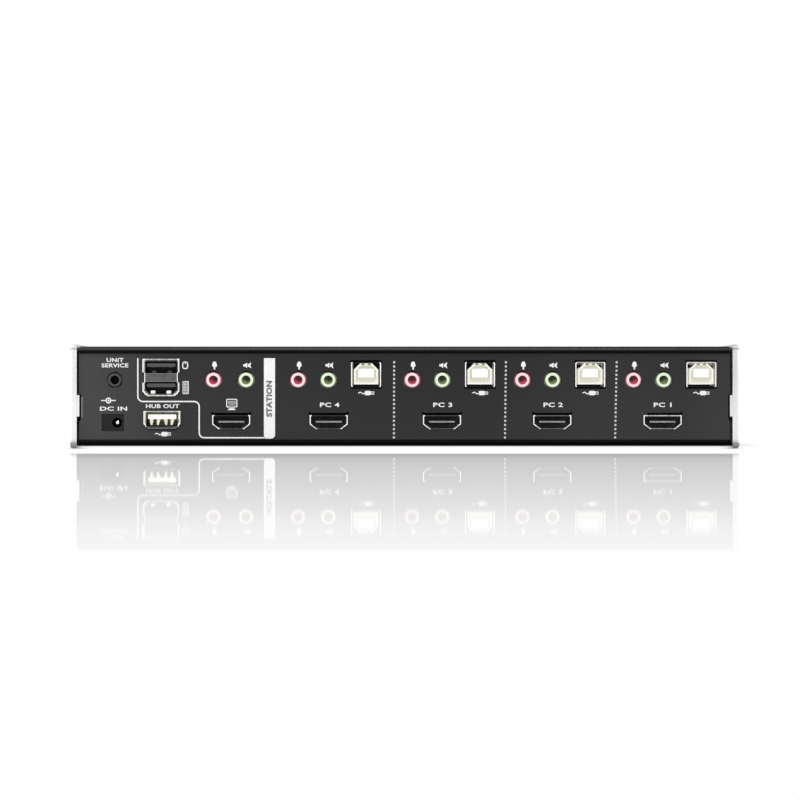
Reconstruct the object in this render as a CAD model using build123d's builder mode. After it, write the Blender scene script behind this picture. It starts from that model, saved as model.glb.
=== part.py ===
from build123d import *
import os

# Four-port desktop switch box that shares one keyboard, mouse, screen and headset
# between four computers.  Millimetres.  +X runs to the right as the connector side
# is faced, +Y runs from the connector side to the button side, +Z is up.
# The origin is under the middle of the box, on the surface that it stands on.

# ---- Folded steel case ----
sheet = 1.0                  # cover and tray
bend_radius = 1.8            # outside radius of the cover's long bends
slip = 0.2                   # clearance between nested sheets and mouldings
case_depth = 152.0           # rail end to rail end
tray_wall = 11.0             # height of the tray's upturned sides
cover_wall_setback = 10.0    # the cover's side walls stop this far inside its rear edge

# ---- Side rails ----
rail_thickness = 2.6
rail_proud = 1.0             # the beads reach this far below and above the case
rail_groove_radius = 0.35
rail_groove_inset = 2.75     # from the rail's ends to the groove beside each bead
foot_flat = 0.08             # taken off the lower bead, so that it stands on a flat
tab_reach = 1.0
tab_height = 8.4
tab_length = 2.4
tab_rise = 11.6              # above the case's underside
clip_length = 8.0
clip_height = 3.0
clip_hook = 1.0
clip_hook_wall = 0.9
clip_drop = 3.5              # the clips start this far above the case's middle height
clip_places = (-42.0, 0.0, 42.0)

# ---- Connector panel ----
panel_sheet = 1.0
panel_recess = 1.5
panel_top_gap = 1.5
panel_bottom_gap = 1.0
panel_side_gap = 0.8
panel_flange = 9.0
panel_fold = 0.8             # outside radius of its folds
panel_screw_inset = 5.0      # behind its back
notch_depth = 0.8
notch_gap = 0.4              # above and below the rail's tab
notch_slant = 2.2            # the notch's lower edge slopes down by this much
socket_gap = 0.3             # between a socket and its cut-out
hdmi_slot = 0.9              # the cut-out reaches this far above the shell
hdmi_ear = 0.45              # radius of the relief in each upper corner
usb_b_slot = 0.7             # above and below the shell
ring_gap = 0.5               # between a jack's ring and its hole

# ---- Boards and their stack ----
standoff_height = 4.0
board_thickness = 1.6
level_gap = 15.0             # main board's top to the upper board's underside
socket_headroom = 5.1        # above the tallest socket
board_side_gap = 7.4
board_edge_gap = 0.7         # board edge to the panel's back
upper_board_depth = 46.0
pillar_across_flats = 5.5
pillar_rows = (22.0, 40.0)   # behind the boards' rear edge
front_pillar_inset = 22.0    # from the main board's front edge
pillar_spread = 96.0
screw_radius = 1.45
tapped_radius = 1.5
screw_hole_radius = 1.6
pan_head_radius = 2.8
pan_head_height = 1.9
pan_head_edge = 0.6
stud_length = 4.8            # spacer studs and screw shanks below a board's top
flat_head_radius = 2.7
flat_screw_length = 5.0
head_play = 0.05             # a flat head in its countersink
cross_length, cross_width = 2.8, 0.65
cross_depth = 0.8
panel_pad_radius = 4.0
side_screw_inset = 30.0      # from both ends of the case

# ---- Socket sizes ----
shell_wall = 0.4
insert_gap = 0.1             # moulding to the shell round it
hdmi_width, hdmi_height, hdmi_depth = 15.0, 5.5, 11.5
hdmi_slant_width, hdmi_slant_height = 2.45, 1.9
hdmi_tongue_width, hdmi_tongue_height, hdmi_tongue_rise = 10.2, 0.8, 2.7
hdmi_tongue_setback = 1.2
hdmi_back = 3.5              # block behind the tongue
hdmi_stand_out = 0.5
usb_b_width, usb_b_height, usb_b_depth = 11.8, 9.9, 16.0
usb_b_corner = 0.6
usb_b_insert_width, usb_b_insert_height, usb_b_insert_rise = 9.6, 8.3, 1.1
usb_b_rim = 0.7
usb_b_bevel = 2.5
usb_b_core_width, usb_b_core_height = 6.0, 3.3
usb_b_core_lift = 0.3        # above the middle of the sleeve
usb_b_cavity = 9.0
usb_b_setback = 0.3
usb_b_core_setback = 0.8
usb_b_stand_out = 0.6
usb_a_width, usb_a_height, usb_a_depth = 13.2, 5.7, 14.0
usb_a_rise = 0.8
usb_a_tongue_width = 11.2
usb_a_tongue_height = 2.0
usb_a_tongue_drop = 0.15
usb_a_tongue_setback = 0.6
usb_a_back = 3.0             # block behind the tongues
usb_a_stand_out = 0.4
lip_reach = 0.65
lip_depth = 0.75
lip_bevel = 1.5
lip_flare = 41.0
stack_height = 13.45
stack_sink = 2.95            # how far the stack hangs below the upper board's top
stack_middle = 3.3
stack_tongue_height = 1.4
stack_tongue_drop = 0.7
stack_tongue_setback = 0.8
stack_lip_gap = 0.35         # the lips stop this far above and below the dividing block
jack_body_width = 6.6
jack_rise = 2.8              # board top to the jack's axis
jack_ring_radius = 3.0
service_ring_radius = 2.7
jack_bore_radius = 1.8
jack_bore_depth = 12.0
jack_body_length = 12.5
jack_stand_out = 0.8
jack_edge = 0.35
jack_overlap = 0.3           # the nose runs this far into the body
dc_width, dc_height, dc_depth = 8.6, 6.5, 13.0
dc_drop = 0.7                # the nose reaches below the board's top
dc_hole_radius = 2.0
dc_hole_side = 1.7           # hole's offset from the nose's middle
dc_hole_depth = 9.5
dc_pin_radius = 0.82
dc_pin_setback = 1.2
dc_recess = 0.3              # behind the panel's face
dc_gap = 0.1
dc_board_gap = 0.5

# ---- Places along the connector side, from the left rail's inner face ----
service_place = 14.95
dc_place = 14.1
stack_place = 33.2
hub_place = 33.6
console_mic_place = 53.9
console_hdmi_place = 60.9
console_speaker_place = 66.8
console_span = 99.4          # to the HDMI socket of the farthest port
port_count = 4
port_pitch = 43.55
last_port_shift = 1.2        # the farthest port stands this much further off
port_edge_margin = 27.55     # nearest port's HDMI socket to the right rail
mic_offset = -11.8
speaker_offset = 0.1
usb_b_offset = 15.0
upper_row_shifts = (0.3, 0.0, 0.0, -0.25)   # upper sockets against the HDMI socket, port by port

# ---- Button side ----
bezel_depth = 5.6
bezel_wall = 2.2
bezel_edge = 1.6
bezel_tab_length = 8.0
bezel_tab_width = 14.0
bezel_tab_pitch = 58.0
bezel_tab_sheet = 1.2
bezel_lip_gap = 0.3
button_width, button_height = 20.0, 8.0
button_corner = 1.4
button_gap = 0.4
button_pitch = 36.0
button_row_start = 66.0      # button 1, on the left as the button side is faced
button_rise = 22.6           # above the case's underside
button_proud = 0.6           # button faces are level with the rails' ends
button_flange = 2.0
button_flange_thickness = 1.3
button_free_gap = 0.5        # flange to the bezel's back at rest
button_travel = 0.8
stem_radius = 2.4
stem_length = 5.3
plunger_radius = 1.7
plunger_out = 1.6
plunger_in = 1.0
plunger_gap = 0.1
plunger_floor = 0.3          # left below a pressed plunger
switch_size = 6.0
switch_height = 3.5
lens_width, lens_height = 4.0, 1.6
lens_gap = 0.1
lens_spread = 5.0            # each side of the button's middle
lens_rise = 9.0              # above the button's middle
lens_proud = 0.1
led_height = 0.9
led_gap = 0.3
button_round = 0.5
front_board_side = 12.0      # beyond the outer buttons' middles
front_board_low = 10.5       # above the case's underside
front_board_high = 36.0
front_usb_place = 104.0
front_mic_place = -96.0
front_speaker_place = -109.0
main_board_front_gap = 4.6

# ---- Parts on the boards: width, depth, height ----
board_link_size = (40.0, 5.0, level_gap)
front_link_size = (24.0, 3.2, 9.0)
video_chip_size = (24.0, 24.0, 1.7)
controller_size = (14.0, 14.0, 1.4)
lamp_size = (2.0, 1.2, led_height)
chip_edge = 0.2
board_link_inset = 31.0      # between the two rows of spacers
video_chip_place = (18.0, 4.0)
controller_places = [(-60.0, 10.0), (70.0, 8.0)]
capacitor_radius = 3.15
capacitor_height = 7.7
capacitor_base = 6.6
capacitor_base_height = 0.8
capacitor_pitch = 10.0
capacitor_inset = 9.0        # beyond the upper board's front edge

# ---- Worked out from the sizes above ----
inner_width = console_span + last_port_shift + (port_count - 1) * port_pitch + port_edge_margin
right_face = inner_width / 2
left_face = -right_face
rail_outer = right_face + rail_thickness
case_bottom = rail_proud
floor_top = case_bottom + sheet
main_board_bottom = floor_top + standoff_height
main_board_top = main_board_bottom + board_thickness
upper_board_bottom = main_board_top + level_gap
upper_board_top = upper_board_bottom + board_thickness
cover_underside = upper_board_top + usb_b_height + socket_headroom
case_top = cover_underside + sheet
overall_height = case_top + rail_proud
cover_half = right_face - slip
usb_a_insert_width = usb_a_width - 2 * (shell_wall + insert_gap)
tray_half = cover_half - sheet - slip
rear_edge = -case_depth / 2
front_edge = case_depth / 2
panel_front = rear_edge + panel_recess
panel_back = panel_front + panel_sheet
panel_bottom = floor_top + panel_bottom_gap
panel_top = cover_underside - panel_top_gap
panel_half = right_face - panel_side_gap
tab_bottom = case_bottom + tab_rise
tab_top = tab_bottom + tab_height
clip_bottom = (case_bottom + case_top) / 2 + clip_drop
bezel_back = front_edge - bezel_depth
bezel_front = front_edge - button_proud
bezel_inner = bezel_front - bezel_wall
board_rear = panel_back + board_edge_gap
board_half = right_face - board_side_gap
main_board_front = bezel_inner - main_board_front_gap
upper_board_front = board_rear + upper_board_depth
flange_front = bezel_inner - button_free_gap
flange_back = flange_front - button_flange_thickness
plunger_tip = flange_back - stem_length
switch_face = plunger_tip - plunger_out
front_board_face = switch_face - switch_height
front_board_back = front_board_face - board_thickness
button_z = case_bottom + button_rise
lens_back = front_board_face + led_height + led_gap
lens_z = button_z + lens_rise

port_places = [right_face - port_edge_margin - n * port_pitch for n in range(port_count)]
port_places[-1] -= last_port_shift
upper_places = [x + shift for x, shift in zip(port_places, upper_row_shifts)]
button_places = [button_row_start - n * button_pitch for n in range(port_count)]
pillar_points = [(x, board_rear + row) for row in pillar_rows
                 for x in (-pillar_spread, 0.0, pillar_spread)]
front_pillar_points = [(x, main_board_front - front_pillar_inset) for x in (-pillar_spread, 0.0, pillar_spread)]
panel_screw_points = [(x, panel_back + panel_screw_inset) for x in (-pillar_spread, 0.0, pillar_spread)]
side_screw_places = (rear_edge + side_screw_inset, front_edge - side_screw_inset)
side_screw_z = case_bottom + tray_wall * 0.55


# ---- Planes and outlines that several pieces share ----
def seat(x, y, z, facing=-1):
    """Plane of a socket's mouth: local x across, local y up, local z out of the mouth."""
    return Plane(origin=(x, y, z), x_dir=(-facing, 0, 0), z_dir=(0, facing, 0))


def upright(y):
    """Upright plane at depth y with X to the right and Z up, its normal towards -Y."""
    return Plane.XZ.offset(-y)


def finish(piece, name):
    """Name a finished piece and write it."""
    piece.part.label = name
    export_step(piece.part, "parts/" + name + ".step")
    return piece.part


hdmi_half = hdmi_width / 2
hdmi_outline = [(-hdmi_half, hdmi_height), (-hdmi_half, hdmi_slant_height), (hdmi_slant_width - hdmi_half, 0),
                (hdmi_half - hdmi_slant_width, 0), (hdmi_half, hdmi_slant_height), (hdmi_half, hdmi_height)]


def d_points(width, height, bevel, low):
    """A rectangle with its two upper corners cut off, standing on the height low."""
    half = width / 2
    high = low + height
    return [(-half, low), (half, low), (half, high - bevel), (half - bevel, high),
            (bevel - half, high), (-half, high - bevel)]


def lip_points(width, height, low, bevel):
    """A rectangle with its two lower corners cut off, standing on the height low."""
    half = width / 2
    high = low + height
    return [(-half, low + bevel), (bevel - half, low), (half - bevel, low), (half, low + bevel),
            (half, high), (-half, high)]


hdmi_mouth = panel_front - hdmi_stand_out
usb_b_mouth = panel_front - usb_b_stand_out
usb_a_mouth = panel_front - usb_a_stand_out
jack_mouth = panel_front - jack_stand_out
dc_mouth = panel_front + dc_recess
dc_hole_x = left_face + dc_place + dc_hole_side
dc_hole_z = main_board_top - dc_drop + dc_height / 2

port_hdmi_seats = [seat(x, hdmi_mouth, main_board_top) for x in port_places]
console_hdmi_seat = seat(left_face + console_hdmi_place, hdmi_mouth, main_board_top)
usb_b_seats = [seat(x + usb_b_offset, usb_b_mouth, upper_board_top) for x in upper_places]
stack_seat = seat(left_face + stack_place, usb_a_mouth, upper_board_top - stack_sink)
hub_seat = seat(left_face + hub_place, usb_a_mouth, main_board_top + usb_a_rise)
front_usb_seat = seat(front_usb_place, bezel_front - lip_depth, main_board_top + usb_a_rise, 1)
rear_jack_places = {"mic_jack_console": left_face + console_mic_place,
                    "speaker_jack_console": left_face + console_speaker_place}
for n, x in enumerate(upper_places, 1):
    rear_jack_places["mic_jack_%d" % n] = x + mic_offset
    rear_jack_places["speaker_jack_%d" % n] = x + speaker_offset
jack_z = upper_board_top + jack_rise


# ---- Case ----
def make_base_tray():
    """Floor with two upturned side walls, screw holes and three raised pads for the panel."""
    half = tray_half - sheet / 2
    tray_length = bezel_back - slip - rear_edge
    with BuildPart() as tray:
        with BuildSketch(upright(rear_edge)):
            with Locations((0, case_bottom + sheet / 2)):
                Rectangle(2 * cover_half, sheet)
        extrude(amount=-(panel_flange + panel_recess))
        with BuildSketch(upright(rear_edge + panel_flange + panel_recess)):
            with BuildLine():
                FilletPolyline((-half, case_bottom + tray_wall), (-half, case_bottom + sheet / 2),
                               (half, case_bottom + sheet / 2), (half, case_bottom + tray_wall), radius=sheet)
            trace(line_width=sheet)
        extrude(amount=-(tray_length - panel_flange - panel_recess))
        with BuildSketch(Plane.XY.offset(floor_top)):
            with Locations(*panel_screw_points):
                Circle(panel_pad_radius)
        extrude(amount=panel_bottom_gap)
        with BuildSketch(Plane.XY.offset(case_bottom)):
            with Locations(*panel_screw_points):
                Circle(flat_head_radius)
        extrude(amount=flat_head_radius - screw_hole_radius, taper=45, mode=Mode.SUBTRACT)
        with BuildSketch(Plane.XY.offset(case_bottom)):
            with Locations(*panel_screw_points):
                Circle(screw_hole_radius)
            with Locations(*(pillar_points + front_pillar_points)):
                Circle(screw_hole_radius)
        extrude(amount=sheet + panel_bottom_gap, mode=Mode.SUBTRACT)
        with BuildSketch(Plane.YZ.offset(-cover_half)):
            with Locations(*[(y, side_screw_z) for y in side_screw_places]):
                Circle(tapped_radius)
        extrude(amount=2 * cover_half, mode=Mode.SUBTRACT)
    return finish(tray, "base_tray")


def make_top_cover():
    """Folded cover: a top sheet with two side walls, slotted for the rails' clips."""
    half = cover_half - sheet / 2
    cover_length = bezel_back - slip - rear_edge
    with BuildPart() as cover:
        with BuildSketch(upright(rear_edge)):
            with BuildLine():
                FilletPolyline((-half, case_bottom), (-half, case_top - sheet / 2),
                               (half, case_top - sheet / 2), (half, case_bottom),
                               radius=bend_radius - sheet / 2)
            trace(line_width=sheet)
        extrude(amount=-cover_length)
        with BuildSketch(Plane.XY.offset(case_bottom - 1)):
            with Locations((0, rear_edge)):
                Rectangle(2 * rail_outer, 2 * cover_wall_setback)
        extrude(amount=cover_underside - case_bottom + 1, mode=Mode.SUBTRACT)
        with BuildSketch(Plane.XY.offset(case_bottom)):
            with Locations((0, rear_edge)):
                Rectangle(2 * rail_outer, 2 * (panel_flange + panel_recess + slip))
        extrude(amount=sheet + slip, mode=Mode.SUBTRACT)
        with BuildSketch(Plane.YZ.offset(-rail_outer)):
            with Locations(*[(y, clip_bottom + (clip_height + clip_hook) / 2) for y in clip_places]):
                Rectangle(clip_length + 2 * slip, clip_height + clip_hook + 2 * slip)
            with Locations(*[(y, side_screw_z) for y in side_screw_places]):
                Circle(screw_hole_radius)
        extrude(amount=2 * rail_outer, mode=Mode.SUBTRACT)
        for side in (-1, 1):
            wall_face = Plane(origin=(side * cover_half, 0, 0), x_dir=(0, 1, 0), z_dir=(side, 0, 0))
            with BuildSketch(wall_face):
                with Locations(*[(y, side * side_screw_z) for y in side_screw_places]):
                    Circle(flat_head_radius)
            extrude(amount=-(flat_head_radius - screw_hole_radius), taper=45, mode=Mode.SUBTRACT)
    return finish(cover, "top_cover")


def make_rear_panel():
    """Upright plate with every socket's cut-out, folded inwards along its top and foot."""
    middle_z = (panel_bottom + panel_top) / 2
    height = panel_top - panel_bottom
    with BuildPart() as panel:
        with BuildSketch(upright(panel_front)):
            with Locations((0, middle_z)):
                Rectangle(2 * panel_half, height)
        extrude(amount=-panel_sheet)
        with BuildSketch(upright(panel_back)):
            for edge_z in (panel_bottom + panel_sheet / 2, panel_top - panel_sheet / 2):
                with Locations((0, edge_z)):
                    Rectangle(2 * (tray_half - sheet - slip), panel_sheet)
        extrude(amount=-panel_flange)
        folds = panel.edges().filter_by(Axis.X).group_by(Axis.Y)[0]
        fillet(folds, radius=panel_fold)
        with BuildSketch(upright(panel_front)):
            for side in (-1, 1):
                with BuildLine():
                    Polyline((side * panel_half, tab_bottom - notch_gap - notch_slant),
                             (side * (panel_half - notch_depth), tab_bottom - notch_gap),
                             (side * (panel_half - notch_depth), tab_top + notch_gap),
                             (side * panel_half, tab_top + notch_gap), close=True)
                make_face()
            with Locations(*[(x, jack_z) for x in rear_jack_places.values()]):
                Circle(jack_ring_radius + ring_gap)
            with Locations((left_face + service_place, jack_z)):
                Circle(service_ring_radius + ring_gap)
            usb_b_z = upper_board_top + usb_b_height / 2
            with Locations(*[(x + usb_b_offset, usb_b_z) for x in upper_places]):
                Rectangle(usb_b_width + 2 * socket_gap, usb_b_height + 2 * usb_b_slot)
            with Locations((left_face + stack_place, upper_board_top - stack_sink + stack_height / 2)):
                Rectangle(usb_a_width + 2 * socket_gap, stack_height + 2 * socket_gap)
            with Locations((left_face + hub_place, main_board_top + usb_a_rise + usb_a_height / 2)):
                Rectangle(usb_a_width + 2 * socket_gap, usb_a_height + 2 * socket_gap)
            with Locations((left_face + dc_place, dc_hole_z)):
                Rectangle(dc_width + 2 * dc_gap, dc_height + 2 * dc_gap)
        extrude(amount=-panel_sheet, mode=Mode.SUBTRACT)
        for place in port_hdmi_seats + [console_hdmi_seat]:
            with BuildSketch(place):
                Polygon(*hdmi_outline, align=None)
                offset(amount=socket_gap, kind=Kind.INTERSECTION, mode=Mode.REPLACE)
                with Locations((0, hdmi_height)):
                    Rectangle(hdmi_width + 2 * socket_gap, 2 * hdmi_slot)
                with Locations((-hdmi_half, hdmi_height + hdmi_slot), (hdmi_half, hdmi_height + hdmi_slot)):
                    Circle(hdmi_ear)
            extrude(amount=-(hdmi_stand_out + panel_sheet), mode=Mode.SUBTRACT)
        with BuildSketch(Plane.XY.offset(panel_bottom)):
            with Locations(*panel_screw_points):
                Circle(tapped_radius)
        extrude(amount=panel_sheet, mode=Mode.SUBTRACT)
    return finish(panel, "rear_panel")


def make_side_rail(side, name):
    """Side rail: a flat strip with a round bead along each edge, three clips and a tab."""
    centre_x = side * (right_face + rail_thickness / 2)
    inner_x = side * right_face
    hook_x = side * (cover_half - sheet - slip)
    neck = abs(inner_x - hook_x) + clip_hook_wall
    root = rail_thickness / 4
    with BuildPart() as rail:
        with BuildSketch(upright(rear_edge)):
            with Locations((centre_x, (overall_height - foot_flat) / 2)):
                SlotOverall(overall_height + foot_flat, rail_thickness, rotation=90)
            with Locations((centre_x, -rail_thickness / 2)):
                Rectangle(2 * rail_thickness, rail_thickness, mode=Mode.SUBTRACT)
            with Locations((side * rail_outer, rail_groove_inset),
                           (side * rail_outer, overall_height - rail_groove_inset)):
                Circle(rail_groove_radius, mode=Mode.SUBTRACT)
        extrude(amount=-case_depth)
        for clip_y in clip_places:
            with BuildSketch(Plane.XY.offset(clip_bottom)):
                with Locations((inner_x - side * (neck - root) / 2, clip_y)):
                    Rectangle(neck + root, clip_length)
            extrude(amount=clip_height)
            with BuildSketch(Plane.XY.offset(clip_bottom)):
                with Locations((hook_x - side * clip_hook_wall / 2, clip_y)):
                    Rectangle(clip_hook_wall, clip_length)
            extrude(amount=clip_height + clip_hook)
        with BuildSketch(upright(rear_edge + rail_groove_radius)):
            with Locations((inner_x - side * (tab_reach - root) / 2, (tab_bottom + tab_top) / 2)):
                Rectangle(tab_reach + root, tab_height)
        extrude(amount=-tab_length)
    return finish(rail, name)


def make_front_bezel():
    """Moulded front: a shallow dished frame with windows for buttons, lenses and sockets."""
    middle_z = (case_bottom + case_top) / 2
    height = case_top - case_bottom
    with BuildPart() as bezel:
        with BuildSketch(seat(0, bezel_back, middle_z, 1)):
            Rectangle(2 * cover_half, height)
        extrude(amount=bezel_front - bezel_back)
        rim = bezel.faces().sort_by(Axis.Y)[-1].edges()
        fillet(rim, radius=bezel_edge)
        with BuildSketch(seat(0, bezel_back, middle_z, 1)):
            Rectangle(2 * (cover_half - bezel_wall), height - 2 * bezel_wall)
        extrude(amount=bezel_inner - bezel_back, mode=Mode.SUBTRACT)
        tab_low = floor_top + slip
        tab_high = cover_underside - slip
        with BuildSketch(seat(0, bezel_back + bezel_tab_sheet, 0, 1)):
            with Locations(*[(bezel_tab_pitch * (n - 1.5), z) for n in range(4)
                             for z in (tab_low + bezel_tab_sheet / 2, tab_high - bezel_tab_sheet / 2)]):
                Rectangle(bezel_tab_width, bezel_tab_sheet)
        extrude(amount=-(bezel_tab_sheet + bezel_tab_length))
        with BuildSketch(seat(0, bezel_front, 0, 1)):
            with Locations(*[(-x, button_z) for x in button_places]):
                RectangleRounded(button_width + 2 * button_gap, button_height + 2 * button_gap,
                                 button_corner + button_gap)
            with Locations(*[(-x + side * lens_spread, lens_z) for x in button_places for side in (-1, 1)]):
                Rectangle(lens_width + 2 * lens_gap, lens_height + 2 * lens_gap)
            with Locations((-front_usb_place, main_board_top + usb_a_rise + usb_a_height / 2)):
                Rectangle(usb_a_width + 2 * (lip_reach + bezel_lip_gap),
                          usb_a_height + 2 * (lip_reach + bezel_lip_gap))
            with Locations(*[(-x, main_board_top + jack_rise) for x in (front_mic_place, front_speaker_place)]):
                Circle(jack_ring_radius + ring_gap / 2)
        extrude(amount=-bezel_wall, mode=Mode.SUBTRACT)
    return finish(bezel, "front_bezel")


# ---- Boards and what joins them ----
def make_main_board():
    """Lower board, on the tray's standoffs."""
    with BuildPart() as board:
        with BuildSketch(Plane.XY.offset(main_board_bottom)):
            with Locations((0, (board_rear + main_board_front) / 2)):
                Rectangle(2 * board_half, main_board_front - board_rear)
            with Locations((left_face + dc_place, board_rear)):
                Rectangle(dc_width + 2 * dc_board_gap, 2 * (dc_depth + dc_board_gap), mode=Mode.SUBTRACT)
            with Locations(*(pillar_points + front_pillar_points)):
                Circle(screw_hole_radius, mode=Mode.SUBTRACT)
        extrude(amount=board_thickness)
    return finish(board, "main_board")


def make_upper_board():
    """Short upper board behind the panel, cut away round the sunk double USB socket."""
    with BuildPart() as board:
        with BuildSketch(Plane.XY.offset(upper_board_bottom)):
            with Locations((0, (board_rear + upper_board_front) / 2)):
                Rectangle(2 * board_half, upper_board_depth)
            with Locations((left_face + stack_place, board_rear)):
                Rectangle(usb_a_width + 2 * socket_gap, 2 * (usb_a_depth - usb_a_stand_out), mode=Mode.SUBTRACT)
            with Locations(*pillar_points):
                Circle(screw_hole_radius, mode=Mode.SUBTRACT)
        extrude(amount=board_thickness)
    return finish(board, "upper_board")


def make_front_board():
    """Upright board that carries the push switches and the indicator lamps."""
    left = button_places[-1] - front_board_side
    right = button_places[0] + front_board_side
    low = case_bottom + front_board_low
    high = case_bottom + front_board_high
    with BuildPart() as board:
        with BuildSketch(upright(front_board_back)):
            with Locations(((left + right) / 2, (low + high) / 2)):
                Rectangle(right - left, high - low)
        extrude(amount=-board_thickness)
    return finish(board, "front_board")


def make_board_standoffs():
    """Short hexagonal standoffs pressed into the tray under the main board."""
    with BuildPart() as pillars:
        with BuildSketch(Plane.XY.offset(floor_top)):
            with Locations(*(pillar_points + front_pillar_points)):
                RegularPolygon(pillar_across_flats / 2, 6, major_radius=False)
                Circle(tapped_radius, mode=Mode.SUBTRACT)
        extrude(amount=standoff_height)
    return finish(pillars, "board_standoffs")


def make_board_spacers():
    """Tall hexagonal spacers between the boards, each with a stud into its standoff."""
    with BuildPart() as spacers:
        with BuildSketch(Plane.XY.offset(main_board_top)):
            with Locations(*pillar_points):
                RegularPolygon(pillar_across_flats / 2, 6, major_radius=False)
        extrude(amount=level_gap)
        with BuildSketch(Plane.XY.offset(main_board_top)):
            with Locations(*pillar_points):
                Circle(screw_radius)
        extrude(amount=-stud_length)
        with BuildSketch(Plane.XY.offset(upper_board_bottom)):
            with Locations(*pillar_points):
                Circle(tapped_radius)
        extrude(amount=-level_gap / 2, mode=Mode.SUBTRACT)
    return finish(spacers, "board_spacers")


def make_board_screws():
    """Pan-head screws: six into the tall spacers, three into the front standoffs."""
    with BuildPart() as screws:
        for points, level in ((pillar_points, upper_board_top), (front_pillar_points, main_board_top)):
            with BuildSketch(Plane.XY.offset(level)):
                with Locations(*points):
                    Circle(pan_head_radius)
            extrude(amount=pan_head_height)
            with BuildSketch(Plane.XY.offset(level)):
                with Locations(*points):
                    Circle(screw_radius)
            extrude(amount=-stud_length)
            head_tops = screws.faces().filter_by(Axis.Z).filter_by_position(
                Axis.Z, level + pan_head_height, level + pan_head_height)
            chamfer(head_tops.edges(), length=pan_head_edge)
            with BuildSketch(Plane.XY.offset(level + pan_head_height)):
                with Locations(*points):
                    Rectangle(cross_length, cross_width)
                    Rectangle(cross_width, cross_length)
            extrude(amount=-cross_depth, mode=Mode.SUBTRACT)
    return finish(screws, "board_screws")


def make_case_screws():
    """Flat-head screws: three up through the tray, two through each side of the cover."""
    runs = [(Plane.XY.offset(case_bottom), panel_screw_points)]
    for side in (-1, 1):
        wall_face = Plane(origin=(side * cover_half, 0, 0), x_dir=(0, 1, 0), z_dir=(-side, 0, 0))
        runs.append((wall_face, [(y, -side * side_screw_z) for y in side_screw_places]))
    with BuildPart() as screws:
        for plane, points in runs:
            with BuildSketch(plane):
                with Locations(*points):
                    Circle(flat_head_radius - head_play)
            extrude(amount=flat_head_radius - screw_radius - head_play, taper=45)
            with BuildSketch(plane):
                with Locations(*points):
                    Circle(screw_radius)
            extrude(amount=flat_screw_length)
            with BuildSketch(plane):
                with Locations(*points):
                    Rectangle(cross_length, cross_width)
                    Rectangle(cross_width, cross_length)
            extrude(amount=cross_depth, mode=Mode.SUBTRACT)
    return finish(screws, "case_screws")


def make_box_on(plane, places, size, edge, name):
    """Chips and connector blocks: bevelled boxes that stand on a board."""
    width, length, height = size
    with BuildPart() as blocks:
        with BuildSketch(plane):
            with Locations(*places):
                Rectangle(width, length)
        extrude(amount=height)
        if edge:
            tops = blocks.faces().filter_by(lambda f: abs(f.normal_at().dot(plane.z_dir) - 1) < 0.01)
            chamfer(tops.edges(), length=edge)
    return finish(blocks, name)


def make_capacitors():
    """Round capacitors near the power socket, each on a square base."""
    places = [(left_face + dc_place + capacitor_pitch * n, upper_board_front + capacitor_inset)
              for n in range(1, 4)]
    with BuildPart() as cans:
        with BuildSketch(Plane.XY.offset(main_board_top)):
            with Locations(*places):
                Rectangle(capacitor_base, capacitor_base)
        extrude(amount=capacitor_base_height)
        with BuildSketch(Plane.XY.offset(main_board_top)):
            with Locations(*places):
                Circle(capacitor_radius)
        extrude(amount=capacitor_height)
    return finish(cans, "capacitors")


# ---- Sockets ----
def make_hdmi_shell(place, name):
    """Folded shell of an HDMI socket, closed at its back."""
    with BuildPart() as shell:
        with BuildSketch(place):
            Polygon(*hdmi_outline, align=None)
        extrude(amount=-hdmi_depth)
        with BuildSketch(place):
            Polygon(*hdmi_outline, align=None)
            offset(amount=-shell_wall, kind=Kind.INTERSECTION, mode=Mode.REPLACE)
        extrude(amount=-(hdmi_depth - shell_wall), mode=Mode.SUBTRACT)
    return finish(shell, name)


def make_hdmi_inserts():
    """Contact carriers of the five HDMI sockets: a block at the back and a thin tongue."""
    depth = hdmi_depth - shell_wall
    with BuildPart() as inserts:
        for place in port_hdmi_seats + [console_hdmi_seat]:
            with BuildSketch(place.offset(-depth)):
                Polygon(*hdmi_outline, align=None)
                offset(amount=-(shell_wall + insert_gap), kind=Kind.INTERSECTION, mode=Mode.REPLACE)
            extrude(amount=hdmi_back)
            with BuildSketch(place.offset(hdmi_back - depth)):
                with Locations((0, hdmi_tongue_rise + hdmi_tongue_height / 2)):
                    Rectangle(hdmi_tongue_width, hdmi_tongue_height)
            extrude(amount=depth - hdmi_back - hdmi_tongue_setback)
    return finish(inserts, "hdmi_inserts")


def make_usb_b_shell(place, name):
    """Square shell of a USB type B socket, closed at its back, with rounded corners."""
    with BuildPart() as shell:
        with BuildSketch(place):
            with Locations((0, usb_b_height / 2)):
                RectangleRounded(usb_b_width, usb_b_height, usb_b_corner)
        extrude(amount=-usb_b_depth)
        with BuildSketch(place):
            with Locations((0, usb_b_height / 2)):
                RectangleRounded(usb_b_width - 2 * shell_wall, usb_b_height - 2 * shell_wall,
                                 usb_b_corner - shell_wall)
        extrude(amount=-(usb_b_depth - shell_wall), mode=Mode.SUBTRACT)
    return finish(shell, name)


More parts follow.
